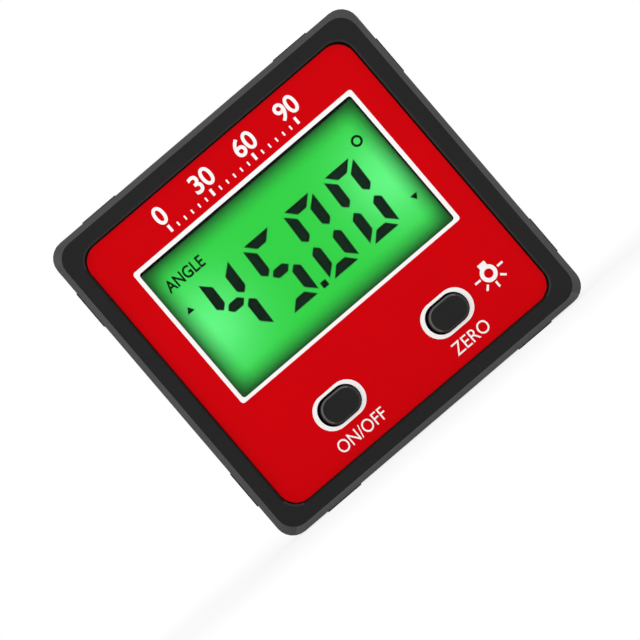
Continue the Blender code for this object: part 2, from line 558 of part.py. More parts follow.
def make_rear_housing():
    housing = block("rear_housing", around(0.0, BODY_WIDTH), (REAR_HALF_START, REAR_Y), around(0.0, BODY_HEIGHT),
                    "case_black", corner=BODY_CORNER, rear_edge=REAR_CHAMFER)
    join(housing, *pad_strips("rear_pad", (REAR_HALF_START, REAR_Y - PAD_END_SETBACK)))
    lip_x = CAVITY_HALF_X - SEAT_GAP
    lip_up = CAVITY_HALF_UP - SEAT_GAP
    join(housing, block("lip", (-lip_x, lip_x), (LIP_FRONT, REAR_HALF_START + OVERRUN), (-lip_up, lip_up),
                        corner=CAVITY_CORNER - SEAT_GAP, steps=SMALL_CORNER_STEPS))
    front_span = (LIP_FRONT - OVERRUN, REAR_CAVITY_END)
    cut(housing, block("well_wide", (-INNER_HALF_X, INNER_HALF_X), front_span, (-POST_UP, POST_UP)),
        block("well_tall", (-POST_X, POST_X), front_span, (-INNER_HALF_UP, INNER_HALF_UP)))
    pocket_span = (REAR_CAVITY_END - OVERRUN, REAR_WALL_INNER)
    pocket_low = BAY_HALF_UP + BAY_WALL
    for label, side in (("upper", 1), ("lower", -1)):
        cut(housing,
            block(f"{label}_pocket_wide", (-INNER_HALF_X, INNER_HALF_X), pocket_span,
                  sorted((side * pocket_low, side * POST_UP))),
            block(f"{label}_pocket_tall", (-POST_X, POST_X), pocket_span,
                  sorted((side * pocket_low, side * INNER_HALF_UP))))
    cut(housing,
        block("battery_bay", (-BAY_HALF_X, BAY_HALF_X), (BAY_BACK, REAR_Y + OVERRUN), (-BAY_HALF_UP, BAY_HALF_UP)),
        block("door_rebate", (-REBATE_HALF_X, REBATE_HALF_X), (DOOR_INNER - SEAT_GAP, REAR_Y + OVERRUN),
              (-REBATE_HALF_UP, REBATE_HALF_UP), corner=DOOR_CORNER + SEAT_GAP, steps=SMALL_CORNER_STEPS))
    slot_y = (DOOR_INNER - TAB_SWING_CLEARANCE, DOOR_INNER + TAB_THICKNESS + SEAT_GAP)
    slot_up = (-DOOR_HALF_UP - TAB_REACH - SEAT_GAP, -BAY_HALF_UP + OVERRUN)
    tail_x = (-BAY_HALF_X + SEAT_GAP - TAIL_GAP, -BAY_HALF_X + SEAT_GAP + CONTACT_THICKNESS + TAIL_GAP)
    tail_y = (REAR_CAVITY_END - OVERRUN, BAY_BACK + OVERRUN)
    for label, side in (("left", -1), ("right", 1)):
        cut(housing, block(f"{label}_tab_slot", around(side * TAB_X, TAB_WIDTH + 2 * SEAT_GAP), slot_y, slot_up))
        cut(housing, block(f"{label}_tail_slot", tail_x, tail_y,
                           around(side * CELL_UP, TAIL_WIDTH + 2 * TAIL_GAP)))
    for number, (side_x, side_up) in enumerate(CORNERS, 1):
        centre = (side_x * SCREW_X, side_up * SCREW_UP)
        cut(housing,
            along_y(f"post_hole_{number}", *centre, SCREW_RADIUS + SCREW_HOLE_GAP,
                    (LIP_FRONT - OVERRUN, SCREW_SEAT + OVERRUN)),
            along_y(f"post_counterbore_{number}", *centre, SCREW_HEAD_RADIUS + SEAT_GAP,
                    (SCREW_SEAT, REAR_Y + OVERRUN)))
        make_screw(f"case_screw_{number}", *centre, SCREW_SEAT + SEAT_GAP, SCREW_HEAD, SCREW_HEAD_RADIUS,
                   SCREW_RADIUS, SCREW_TIP)
    return housing


def make_magnets(housing):
    pocket_depth = MAGNET_RECESS + MAGNET_THICKNESS + SEAT_GAP
    level = Vector((0, 0, 1))
    upright = Vector((1, 0, 0))
    sites = []
    for side, level_name, upright_name in ((-1, "bottom", "left"), (1, "top", "right")):
        for end, end_x_name, end_up_name in ((-1, "left", "lower"), (1, "right", "upper")):
            top = Vector((end * TOP_PAD_X, MAGNET_Y, side * (BODY_HEIGHT / 2 + PAD_RISE)))
            flank = Vector((side * (BODY_WIDTH / 2 + PAD_RISE), MAGNET_Y, end * SIDE_PAD_UP))
            sites.append((f"magnet_{level_name}_{end_x_name}", top, side * level))
            sites.append((f"magnet_{upright_name}_{end_up_name}", flank, side * upright))
    for name, face, outward in sites:
        pocket_length = pocket_depth + OVERRUN
        pocket_centre = face + outward * (OVERRUN - pocket_length / 2)
        cut(housing, rod(f"{name}_pocket", pocket_centre, MAGNET_RADIUS + SEAT_GAP, pocket_length, outward))
        rod(name, face - outward * (MAGNET_RECESS + MAGNET_THICKNESS / 2), MAGNET_RADIUS, MAGNET_THICKNESS,
            outward, "magnet_nickel")


def make_cell(name, x, up, facing):
    """A turned battery cell along X with its nub towards one end."""
    half = CELL_LENGTH / 2
    shoulder = half - CELL_NUB
    outline = ((0.0, half), (CELL_NUB_RADIUS, half), (CELL_NUB_RADIUS, shoulder), (CELL_RADIUS - CELL_EDGE, shoulder),
               (CELL_RADIUS, shoulder - CELL_EDGE), (CELL_RADIUS, -half + CELL_EDGE),
               (CELL_RADIUS - CELL_EDGE, -half), (0.0, -half))
    mesh = bpy.data.meshes.new(name)
    points = [(radius, 0.0, height) for radius, height in outline]
    mesh.from_pydata(points, [(i, i + 1) for i in range(len(points) - 1)], [])
    mesh.materials.append(LOOKS["cell_sleeve"])
    cell = bpy.data.objects.new(name, mesh)
    PARTS.objects.link(cell)
    turn = cell.modifiers.new("turn", "SCREW")
    turn.axis = "Z"
    turn.steps = ROUND_SIDES
    turn.render_steps = ROUND_SIDES
    turn.use_merge_vertices = True
    turn.merge_threshold = SPRING_WIRE / ROUND_SIDES
    turn.use_smooth_shade = False
    cell.rotation_euler = (0.0, facing * math.pi / 2, 0.0)
    cell.location = (x, CELL_Y, CENTRE_UP + up)


def make_spring(name, start_x, facing, up):
    """A coil of wire along X, straight for one wire width at each end."""
    turn_points = SPRING_TURNS * SPRING_POINTS_PER_TURN
    coil_length = SPRING_LENGTH - 2 * SPRING_WIRE
    path = [(0.0, 0.0)]
    for index in range(turn_points + 1):
        share = index / turn_points
        path.append((SPRING_WIRE + share * coil_length, share * SPRING_TURNS * 2 * math.pi))
    path.append((SPRING_LENGTH, SPRING_TURNS * 2 * math.pi))
    points = [Vector((facing * along, SPRING_RADIUS * math.cos(angle), SPRING_RADIUS * math.sin(angle)))
              for along, angle in path]
    curve = bpy.data.curves.new(name, "CURVE")
    curve.dimensions = "3D"
    curve.bevel_depth = SPRING_WIRE / 2
    curve.bevel_resolution = 1
    curve.use_fill_caps = True
    line = curve.splines.new("POLY")
    line.points.add(len(points) - 1)
    for spot, point in zip(line.points, points):
        spot.co = (*point, 1.0)
    curve.materials.append(LOOKS["spring_steel"])
    spring = bpy.data.objects.new(name, curve)
    PARTS.objects.link(spring)
    spring.location = (start_x, CELL_Y, CENTRE_UP + up)
    half_turn = SPRING_POINTS_PER_TURN // 2
    gap = min((points[i] - points[j]).length for i in range(len(points)) for j in range(i + half_turn, len(points)))
    print(f"{name}: least gap between turns {(gap - SPRING_WIRE) * 1000:.2f} mm")


def make_power():
    plate_x = BAY_HALF_X - SEAT_GAP - CONTACT_THICKNESS
    plate_y = around(CELL_Y, CONTACT_SIDE)
    tail_y = (ON_BOARD_BACK, plate_y[0] + OVERRUN)
    left_x = (-plate_x - CONTACT_THICKNESS, -plate_x)
    dimple_length = DIMPLE_HEIGHT + CONTACT_THICKNESS / 2
    dimple_x = plate_x - DIMPLE_HEIGHT + dimple_length / 2
    for label, side in (("negative", 1), ("positive", -1)):
        plate = block(f"contact_plate_{label}", left_x, plate_y, around(side * CELL_UP, CONTACT_SIDE),
                      "contact_nickel")
        join(plate, block(f"{label}_tail", left_x, tail_y, around(side * CELL_UP, TAIL_WIDTH)))
        if label == "positive":
            join(plate, rod("left_dimple", (-dimple_x, CELL_Y, side * CELL_UP), DIMPLE_RADIUS, dimple_length,
                            (1, 0, 0), sides=SMALL_ROUND_SIDES))
    bridge = block("contact_bridge", (plate_x, plate_x + CONTACT_THICKNESS), plate_y,
                   around(0.0, CELL_PITCH + CONTACT_SIDE), "contact_nickel")
    join(bridge, rod("right_dimple", (dimple_x, CELL_Y, CELL_UP), DIMPLE_RADIUS, dimple_length, (1, 0, 0),
                     sides=SMALL_ROUND_SIDES))
    cell_shift = (SPRING_LENGTH + SEAT_GAP - DIMPLE_HEIGHT) / 2
    for label, side in (("upper", 1), ("lower", -1)):
        make_cell(f"battery_{label}", side * cell_shift, side * CELL_UP, side)
        make_spring(f"battery_spring_{label}", -side * (plate_x - SEAT_GAP), side, side * CELL_UP)


def make_door():
    door = block("battery_door", (-DOOR_HALF_X, DOOR_HALF_X), (DOOR_INNER, REAR_Y), (-DOOR_HALF_UP, DOOR_HALF_UP),
                 "case_black", corner=DOOR_CORNER, steps=SMALL_CORNER_STEPS)
    for label, side in (("left", -1), ("right", 1)):
        join(door, block(f"{label}_tab", around(side * TAB_X, TAB_WIDTH), (DOOR_INNER, DOOR_INNER + TAB_THICKNESS),
                         (-DOOR_HALF_UP - TAB_REACH, -DOOR_HALF_UP + OVERRUN)))
    cut(door, block("latch_notch", around(0.0, LATCH_WIDTH + 2 * SEAT_GAP), (DOOR_INNER - OVERRUN, REAR_Y + OVERRUN),
                    (LATCH_LOW - SEAT_GAP, DOOR_HALF_UP + OVERRUN)))
    set_origin(door, (0.0, REAR_Y, HINGE_UP))
    latch_front = REAR_Y - LATCH_THICKNESS
    latch = block("door_latch", around(0.0, LATCH_WIDTH), (latch_front, REAR_Y), (LATCH_LOW, DOOR_HALF_UP),
                  "case_black")
    for number in range(LATCH_GROOVES):
        groove_up = (LATCH_LOW + DOOR_HALF_UP) / 2 + (number - (LATCH_GROOVES - 1) / 2) * LATCH_GROOVE_PITCH
        cut(latch, block(f"latch_groove_{number + 1}", around(0.0, LATCH_WIDTH + 2 * OVERRUN),
                         (REAR_Y - LATCH_GROOVE, REAR_Y + OVERRUN), around(groove_up, LATCH_GROOVE)))
    set_origin(latch, (0.0, REAR_Y - LATCH_THICKNESS / 2, LATCH_LOW + LATCH_PIVOT_INSET))
    latch.parent = door
    latch.matrix_parent_inverse = Matrix.Translation(door.location).inverted()


make_front_frame()
make_faceplate()
make_display()
make_keys()
make_board()
make_magnets(make_rear_housing())
make_power()
make_door()
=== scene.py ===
"""Looks of the square digital inclinometer: shells, print, lit display, keys, battery bay and finishes.

Metres, +Z up, front towards -Y. Heights named up are measured from the middle of the case.
"""
import math

import bmesh
import bpy
from mathutils import Matrix, Vector


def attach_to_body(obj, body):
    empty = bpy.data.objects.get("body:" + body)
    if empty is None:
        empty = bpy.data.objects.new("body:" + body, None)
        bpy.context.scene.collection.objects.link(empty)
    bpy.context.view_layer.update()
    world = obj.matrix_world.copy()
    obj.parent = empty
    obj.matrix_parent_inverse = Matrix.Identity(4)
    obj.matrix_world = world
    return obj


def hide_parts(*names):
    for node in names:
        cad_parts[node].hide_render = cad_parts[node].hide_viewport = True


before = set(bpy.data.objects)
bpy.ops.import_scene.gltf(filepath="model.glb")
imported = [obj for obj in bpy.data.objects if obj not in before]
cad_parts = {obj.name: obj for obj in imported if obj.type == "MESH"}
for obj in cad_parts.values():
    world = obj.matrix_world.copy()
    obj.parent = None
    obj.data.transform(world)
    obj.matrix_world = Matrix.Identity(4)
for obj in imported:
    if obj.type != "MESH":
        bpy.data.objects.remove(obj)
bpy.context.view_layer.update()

# Case
BODY_WIDTH = 0.0596
BODY_HEIGHT = 0.0574
DEPTH = 0.031
BODY_CORNER = 0.003
FRONT_CHAMFER = 0.00095
FRONT_CORNER = 0.002112
RIM_CHAMFER = 0.0003
FRONT_HALF_DEPTH = 0.0115
SEAT_GAP = 0.0003
SEAM_DRAW = 0.0002
OVERRUN = 0.0005
MICRO_BEVEL = 0.00007

# Pads
PAD_RISE = 0.0002
PAD_TEST = PAD_RISE / 10

# Faceplate
FACEPLATE_WIDTH = 0.0522
FACEPLATE_HEIGHT = 0.0502
FACEPLATE_CORNER = 0.0027
FACEPLATE_GAP = 0.00025
FACEPLATE_RECESS = 0.0008
FACEPLATE_THICKNESS = 0.001
WINDOW_CORNER = 0.0005
KEY_HOLE_WIDTH = 0.00735
KEY_HOLE_UP = (-0.02002, -0.015075)
POWER_KEY_X = -0.0105
ZERO_KEY_X = 0.011

# Places that follow
CENTRE_UP = PAD_RISE + BODY_HEIGHT / 2
FRONT_Y = -DEPTH / 2
REAR_Y = DEPTH / 2
PLATE_FRONT = FRONT_Y + FACEPLATE_RECESS
PLATE_BACK = PLATE_FRONT + FACEPLATE_THICKNESS
WALL_FRONT = PLATE_BACK + SEAT_GAP
FRONT_HALF_END = FRONT_Y + FRONT_HALF_DEPTH
REAR_HALF_START = FRONT_HALF_END + SEAT_GAP
CORNERS = [(side_x, side_up) for side_up in (1, -1) for side_x in (-1, 1)]

# Display light
GLOW_X = 0.0173
GLOW_UP = 0.004
GLOW_WIDTH = 0.0046
GLOW_HEIGHT = 0.005
GLOW_MIDDLE = (0.029, 0.63, 0.056)
GLOW_BRIGHT = (0.122, 0.922, 0.223)
# Painted shade: the display's colour at the edges of the opening, and how far and how fast it fades in.
DISPLAY_PAINTED_EDGE_SHADE = (0.009, 0.063, 0.014)
EDGE_SHADE_REACH_X = 0.0036
EDGE_SHADE_REACH_UP = 0.0036
EDGE_SHADE_POWER = 1.45
DISPLAY_X = (-0.02087, 0.02113)
DISPLAY_UP = (CENTRE_UP - 0.00723, CENTRE_UP + 0.01692)
# Painted shadow: where the mask's dark line shows at the right of the window, and how much it is narrowed.
MASK_RIGHT = 0.02082
MASK_SHADOW_LINE_DRAW = 0.00016

# Print
PRINT_THICKNESS = 0.00003
OPENING_X = (-0.02087, 0.02121)
OPENING_UP = (-0.00736, 0.01725)
BORDER_X = (-0.02154, 0.02191)
BORDER_UP = (-0.00794, 0.01795)
BORDER_CORNER = 0.0005
BORDER_STEPS = 6
PLATE_BEVEL = 0.00004
PLATE_CORNER = 0.00315
PLATE_SHIFT = 0.00015
RECESS_DRAW_RIGHT = 0.00015
RECESS_DRAW_TOP = 0.0001
KEY_RING_X = 0.00076
KEY_RING_UP = 0.00048
LABEL_UP = (-0.02365, -0.0216)
POWER_LABEL_X = (-0.0149, -0.0059)
ZERO_LABEL_X = (0.00807, 0.01473)
BULB_X = 0.01972
BULB_UP = -0.01701
BULB_OUTER = 0.00137
BULB_INNER = 0.00072
NECK_TOP = 0.00196
NECK_REACH = 0.0006
NECK_FLARE = 1.3
BULB_RAYS = (((-0.00162, 0.0), (-0.00267, 0.0)), ((0.00168, 0.0), (0.00273, 0.0)),
             ((-0.00122, -0.00124), (-0.00187, -0.00194)), ((0.00123, -0.00124), (0.00198, -0.00189)),
             ((0.00003, -0.00164), (0.00003, -0.00264)))
RAY_WIDTH = 0.00034
SCALE_X = (-0.0126, 0.0126)
SCALE_FOOT = 0.01894
SCALE_TICKS = 19
SCALE_STEP = 6
LONG_TICK = 0.0012
SHORT_TICK = 0.0007
BOLD_TICK = 0.00045
FINE_TICK = 0.00026
SCALE_FIGURES = ("0", "30", "60", "90")
FIGURE_WIDTH = 0.0019
FIGURE_UP = (0.0205, 0.02355)
BOLD_WEIGHT = 0.02

# Display figures, as points across and up from the middle of the case
GLASS_FRONT = -0.0111
SEGMENT_THICKNESS = 0.00003
SEGMENTS = {
    "top": ((0.00208, 0.01016), (0.00685, 0.01016), (0.00524, 0.00858), (0.00349, 0.00858)),
    "upper_left": ((0.00151, 0.00969), (0.00306, 0.00811), (0.00294, 0.0051), (0.00208, 0.00434),
                   (0.00125, 0.0051)),
    "upper_right": ((0.00732, 0.00962), (0.0071, 0.00517), (0.00624, 0.00438), (0.00541, 0.00517),
                    (0.0055, 0.00804)),
    "middle": ((0.00253, 0.00383), (0.0032, 0.00457), (0.00488, 0.00458), (0.00565, 0.00378),
               (0.00488, 0.00301), (0.00317, 0.00301)),
    "lower_left": ((0.00205, 0.0033), (0.00283, 0.00252), (0.00268, -0.00043), (0.00096, -0.00193),
                   (0.00111, 0.00244)),
    "lower_right": ((0.00613, 0.0033), (0.00699, 0.00252), (0.00672, -0.002), (0.00517, -0.00043),
                    (0.00527, 0.00252)),
    "bottom": ((0.00144, -0.00251), (0.00301, -0.00093), (0.00474, -0.00093), (0.00613, -0.00251)),
}
SEGMENTS_LIT = {
    "4": ("upper_left", "upper_right", "middle", "lower_right"),
    "5": ("top", "upper_left", "middle", "lower_right", "bottom"),
    "0": ("top", "upper_left", "upper_right", "lower_left", "lower_right", "bottom"),
}
READING = (("4", -0.01658, 0.00048), ("5", -0.00808, 0.0), ("0", 0.0, 0.0), ("0", 0.00808, 0.0))
DECIMAL_POINT = ((-0.00075, -0.0026), (0.0003, -0.0026), (0.0003, -0.00152), (-0.00075, -0.00152))
TILT_MARKS = (((-0.0191, 0.0078), (-0.0178, 0.0078), (-0.01845, 0.0088)),
              ((0.01822, -0.00045), (0.01887, -0.00143), (0.01952, -0.00045)))
DEGREE_MIDDLE = (0.0176, 0.0113)
DEGREE_OUTER = 0.00092
DEGREE_INNER = 0.00055
WORD_X = (-0.01905, -0.01193)
WORD_UP = (0.0119, 0.0139)
WORD_WEIGHT = 0.02

# Keys
KEY_LIMITS = (-0.003275, 0.003535, -0.0199, -0.015405)
KEY_FRONT = -0.0153
KEY_SLOPES = ((0.0005, (0.0, 0.0, 0.0, 0.0)), (0.00018, (0.0002, 0.00003, 0.00002, 0.00005)),
              (0.0, (0.00032, 0.0003, 0.00025, 0.00027)))
FLANGE_MARGIN = 0.0008
FLANGE_FRONT = -0.0117
FLANGE_BACK = -0.0109

# Battery bay
CELL_LENGTH = 0.0445
CELL_RADIUS = 0.00525
CELL_EDGE = 0.0004
CELL_EDGE_STEPS = 4
CELL_LIP = 0.0012
CELL_LIP_DEPTH = 0.0001
CELL_SHOULDER = 0.0437
CELL_NUB = 0.0019
CELL_NUB_EDGE = 0.0002
CELL_SIDES = 64
CELL_Y = 0.00815
CELL_UP = 0.00575
CELL_SHIFT = 0.00165
SLEEVE_DARK = (0.02, 0.05, 0.16)
SLEEVE_COPPER = (0.45, 0.2, 0.08)
SLEEVE_PALE = (0.7, 0.7, 0.68)
SLEEVE_BAND = 0.8
SLEEVE_LINE = 0.02
PLATE_X = 0.0254
SPRING_LENGTH = 0.0042
SPRING_RADIUS = 0.0022
SPRING_WIRE = 0.0005
SPRING_TURNS = 3
SPRING_POINTS = 32

# Battery door, as points across and up from the middle of the case
GRIP_RISE = 0.0002
GRIP_ROOT = 0.0001
GRIP_X = 0.0052
GRIP_WIDTH = 0.0005
GRIP_UP = (0.0052, 0.0064, 0.0076)
ARROW = ((-0.0016, 0.0034), (0.0, 0.0012), (0.0016, 0.0034))

# Screws, magnets and board
SCREW_X = 0.0243
SCREW_UP = 0.0232
CASE_SCREW_SEAT = 0.0113
CASE_SCREW_LENGTH = 0.0195
CASE_SCREW_HEAD = 0.0015
CASE_SCREW_HEAD_RADIUS = 0.0019
CASE_SCREW_RADIUS = 0.001
BOARD_SCREW_SEAT = -0.0047
BOARD_SCREW_LENGTH = 0.0055
BOARD_SCREW_HEAD = 0.0012
BOARD_SCREW_HEAD_RADIUS = 0.0017
BOARD_SCREW_RADIUS = 0.0008
BOARD_SCREWS = ((-0.02, -0.0155), (0.02, -0.0155), (0.0, 0.0228))
SCREW_SIDES = 32
HEAD_STEPS = 5
THREAD_PITCH = 0.0007
THREAD_DEPTH = 0.0002
TIP_LENGTH = 0.0006
CROSS_WIDTH = 0.0005
CROSS_DEPTH = 0.0008
CROSS_REACH = 1.15
MAGNET_EDGE = 0.00015
BOARD_BACK = -0.005
CHIP_SIDE = 0.007
CHIP_UP = 0.009
LEAD_COUNT = 8
LEAD_PITCH = 0.0008
LEAD_WIDTH = 0.0003
LEAD_LENGTH = 0.0009
LEAD_HEIGHT = 0.0002
RESISTOR = 0.0012
RESISTOR_HEIGHT = 0.0004
RESISTORS = ((-0.006, 0.0), (-0.003, 0.0), (0.0, 0.0), (0.003, 0.0), (0.0075, 0.006), (0.0075, 0.0085),
             (0.0075, 0.011), (-0.006, -0.005), (0.006, -0.005), (-0.012, -0.01), (0.012, -0.01),
             (0.014, -0.005))

# Finishes: noise limits, and the colours and sizes of what is drawn by nodes
NOISE_LIMITS = (0.3, 0.7)
ROUGHNESS_SPREAD = (0.85, 1.15)
GLASS_WAVE = 0.004
GLASS_TINT_SPREAD = 1.02
GLASS_ROUGHNESS_SPREAD = 1.5
GLASS_SHARE = 0.3
CELL_GRAIN = 0.0003
CELL_ROUGHNESS = (0.25, 0.35)
CELL_BASE = (0.002, 0.01, 0.003)
CELL_SPECULAR = 0.02
RESIST_DARK = (0.008, 0.1, 0.03)
RESIST_PALE = (0.012, 0.12, 0.04)
RESIST_MIDDLE = (0.01, 0.11, 0.035)
TRACK_GREEN = (0.03, 0.22, 0.09)
TRACK_SHARE = 0.03
TRACKS_PER_METRE = 160.0
RESIST_GRAIN = 0.0004
RESIST_ROUGHNESS = (0.3, 0.45)
TRACK_RISE = 0.00002
SLEEVE_WEAR = 0.003
SLEEVE_ROUGHNESS = (0.22, 0.36)
SLEEVE_RELIEF = 0.00001

# Camera, light and floor
IMAGE_ROLL = math.radians(40.48)
CAMERA_X = -0.00435
CAMERA_Z = 0.02311
CAMERA_LENS = 400.0
CAMERA_SENSOR = 36.0
VIEW_WIDTH = 0.09702
FLOOR_SIDE = 6.0
FLOOR_WHITE = 0.85
SHADOW_REACH = (0.04, 0.16)
FLOOR_GREYS = ((0.78, 0.78, 0.78), (0.82, 0.82, 0.82))
FLOOR_GRAIN = 0.02
FLOOR_ROUGHNESS = 0.9
CLIP_NEAR = 0.01
CLIP_FAR = 20.0
WORLD_LIGHT = 0.6
LAMPS = (("key_light", (0.35, -1.15, 0.4), 0.6, 2.2), ("left_light", (-0.55, -1.1, 0.0), 0.5, 2.6),
         ("right_light", (0.55, -1.1, 0.0), 0.5, 3.0),
         ("side_light", (-0.6, -0.3, 0.35), 0.3, 0.8), ("rear_light", (0.2, 1.1, 0.5), 0.6, 7.0))

# Mesh limits
MERGE_DISTANCE = 0.000001
FLAT_ANGLE = math.radians(1.0)
CRISP_ANGLE = math.radians(28.0)
EDGE_SLOPE = (0.5, 0.9)
RIM_STRAIGHT = 0.69
LETTER_MERGE = 0.0001
KEY_STEPS = 14
RING_SIDES = 48
ROUND_END_SHARE = 0.98


# Materials

def nodes_of(material):
    material.use_nodes = True
    tree = material.node_tree
    return tree, tree.nodes["Principled BSDF"]


def object_noise(tree, size, detail=2.0):
    """Noise whose blobs are about one size across, in the object's own space."""
    where = tree.nodes.new("ShaderNodeTexCoord")
    scale = tree.nodes.new("ShaderNodeMapping")
    scale.inputs["Scale"].default_value = (1.0 / size, 1.0 / size, 1.0 / size)
    noise = tree.nodes.new("ShaderNodeTexNoise")
    noise.inputs["Scale"].default_value = 1.0
    noise.inputs["Detail"].default_value = detail
    tree.links.new(where.outputs["Object"], scale.inputs["Vector"])
    tree.links.new(scale.outputs["Vector"], noise.inputs["Vector"])
    return noise.outputs["Fac"]


def spread(tree, value, low, high):
    """Map a 0 to 1 value between two limits."""
    step = tree.nodes.new("ShaderNodeMapRange")
    step.inputs["From Min"].default_value = NOISE_LIMITS[0]
    step.inputs["From Max"].default_value = NOISE_LIMITS[1]
    step.inputs["To Min"].default_value = low
    step.inputs["To Max"].default_value = high
    tree.links.new(value, step.inputs["Value"])
    return step.outputs["Result"]


def blend_colours(tree, factor, first, second):
    mix = tree.nodes.new("ShaderNodeMix")
    mix.data_type = "RGBA"
    mix.inputs["A"].default_value = (*first, 1.0)
    mix.inputs["B"].default_value = (*second, 1.0)
    tree.links.new(factor, mix.inputs["Factor"])
    return mix.outputs["Result"]


def add_bump(tree, shader, height, depth):
    bump = tree.nodes.new("ShaderNodeBump")
    bump.inputs["Strength"].default_value = 1.0
    bump.inputs["Distance"].default_value = depth
    tree.links.new(height, bump.inputs["Height"])
    tree.links.new(bump.outputs["Normal"], shader.inputs["Normal"])


def shade(colour, factor):
    return tuple(min(1.0, channel * factor) for channel in colour)


def surface(name, colour, roughness, metallic=0.0, specular=0.5, grain=0.0002, depth=0.000004,
            variation=0.06, patch=0.006):
    """A moulded, painted or metal surface: fine grain in the bump, soft patches in colour and roughness."""
    material = bpy.data.materials.new(name)
    tree, shader = nodes_of(material)
    fine = object_noise(tree, grain)
    broad = object_noise(tree, patch, detail=3.0)
    tint = blend_colours(tree, spread(tree, broad, 0.0, 1.0), shade(colour, 1 - variation),
                         shade(colour, 1 + variation))
    tree.links.new(tint, shader.inputs["Base Color"])
    limits = [roughness * share for share in ROUGHNESS_SPREAD]
    tree.links.new(spread(tree, fine, *limits), shader.inputs["Roughness"])
    add_bump(tree, shader, fine, depth)
    shader.inputs["Metallic"].default_value = metallic
    shader.inputs["Specular IOR Level"].default_value = specular
    material.diffuse_color = (*colour, 1.0)
    return material


CASE_BLACK = surface("case_black", (0.0088, 0.0088, 0.0089), 0.5, specular=0.12, grain=0.00022,
                     depth=0.000006)
# Painted highlight: the front chamfer is painted lighter than the case.
CASE_CHAMFER_PAINTED_HIGHLIGHT = surface("case_chamfer_painted_highlight", (0.065, 0.065, 0.0655), 0.42, specular=0.15, grain=0.0002, depth=0.000003)
# Painted light: the downward facing chamfer is painted lighter still, for the light it does not get from
# below.
CASE_LOWER_CHAMFER_PAINTED_LIGHT = surface("case_lower_chamfer_painted_light", (0.1, 0.1, 0.1007), 0.42, specular=0.15, grain=0.0002,
                         depth=0.000003)
# Painted highlight on the rim of the faceplate recess.
CASE_RIM_PAINTED_HIGHLIGHT = surface("case_rim_painted_highlight", (0.026, 0.026, 0.0262), 0.45, specular=0.15, grain=0.0002, depth=0.000003)
PAD_BLACK = surface("pad_black", (0.003, 0.003, 0.0032), 0.6, specular=0.05, grain=0.00025, depth=0.00001)
PLATE_RED = surface("plate_red", (0.635, 0.0002, 0.003), 0.42, specular=0.02, grain=0.00012,
                    depth=0.0000015, variation=0.02, patch=0.01)
PRINT_WHITE = surface("print_white", (0.97, 0.955, 0.945), 0.5, specular=0.05, grain=0.00015,
                      depth=0.000002, variation=0.01)
KEY_BLACK = surface("key_black", (0.0132, 0.0132, 0.0132), 0.38, specular=0.08, grain=0.00025,
                    depth=0.000003)
# Painted highlight on the sloped rim of the keys: bright paint for faces turned left or up, dimmer paint
# for faces turned right or down.
KEY_SLOPE_PAINTED_HIGHLIGHT = surface("key_slope_painted_highlight", (0.095, 0.095, 0.095), 0.35, specular=0.2, grain=0.00025, depth=0.000003)
KEY_SLOPE_PAINTED_DIM_HIGHLIGHT = surface("key_slope_painted_dim_highlight", (0.034, 0.034, 0.034), 0.4, specular=0.15, grain=0.00025,
                        depth=0.000003)
MASK_BLACK = surface("mask_black", (0.003, 0.003, 0.003), 0.8, specular=0.1)
SEGMENT_BLACK = surface("segment_black", (0.002, 0.012, 0.005), 0.6, specular=0.02, variation=0.03)
STEEL = surface("steel", (0.5, 0.5, 0.52), 0.32, metallic=1.0, grain=0.00012, depth=0.000002)
SPRING_STEEL = surface("spring_steel", (0.6, 0.6, 0.62), 0.25, metallic=1.0, grain=0.0001, depth=0.000001)
NICKEL = surface("contact_nickel", (0.62, 0.6, 0.55), 0.28, metallic=1.0, grain=0.00015, depth=0.000002)
MAGNET_NICKEL = surface("magnet_nickel", (0.55, 0.55, 0.56), 0.2, metallic=1.0, grain=0.00015,
                        depth=0.000001)
CHIP_BLACK = surface("chip_black", (0.012, 0.012, 0.013), 0.6, specular=0.3)
STRIP_RUBBER = surface("strip_rubber", (0.35, 0.18, 0.12), 0.8, specular=0.2)
CAN_SILVER = surface("capacitor_silver", (0.6, 0.6, 0.62), 0.35, metallic=1.0)
GUIDE_GREEN = surface("guide_green", (0.12, 0.86, 0.24), 0.35, specular=0.4)
LAMP_GREEN = surface("lamp_green", (0.2, 0.9, 0.3), 0.3, specular=0.5)


def glass(name, tint, roughness, index):
    """A clear moulded window with faint surface waviness."""
    material = bpy.data.materials.new(name)
    tree, shader = nodes_of(material)
    waves = object_noise(tree, GLASS_WAVE)
    paler = shade(tint, GLASS_TINT_SPREAD)
    tree.links.new(blend_colours(tree, waves, tint, paler), shader.inputs["Base Color"])
    duller = roughness * GLASS_ROUGHNESS_SPREAD
    tree.links.new(spread(tree, waves, roughness, duller), shader.inputs["Roughness"])
    shader.inputs["Transmission Weight"].default_value = 1.0
    shader.inputs["IOR"].default_value = index
    material.diffuse_color = (*tint, GLASS_SHARE)
    return material


def calculate(tree, operation, *values, clamp=False):
    """A maths node. Each value is a number or another node's output."""
    step = tree.nodes.new("ShaderNodeMath")
    step.operation = operation
    step.use_clamp = clamp
    for socket, value in zip(step.inputs, values):
        if isinstance(value, (int, float)):
            socket.default_value = value
        else:
            tree.links.new(value, socket)
    return step.outputs["Value"]


def bell(tree, across, middle, width):
    """A bell curve of a coordinate about its middle."""
    offset = calculate(tree, "DIVIDE", calculate(tree, "SUBTRACT", across, middle), width)
    square = calculate(tree, "MULTIPLY", offset, offset)
    return calculate(tree, "EXPONENT", calculate(tree, "MULTIPLY", square, -1 / 2))


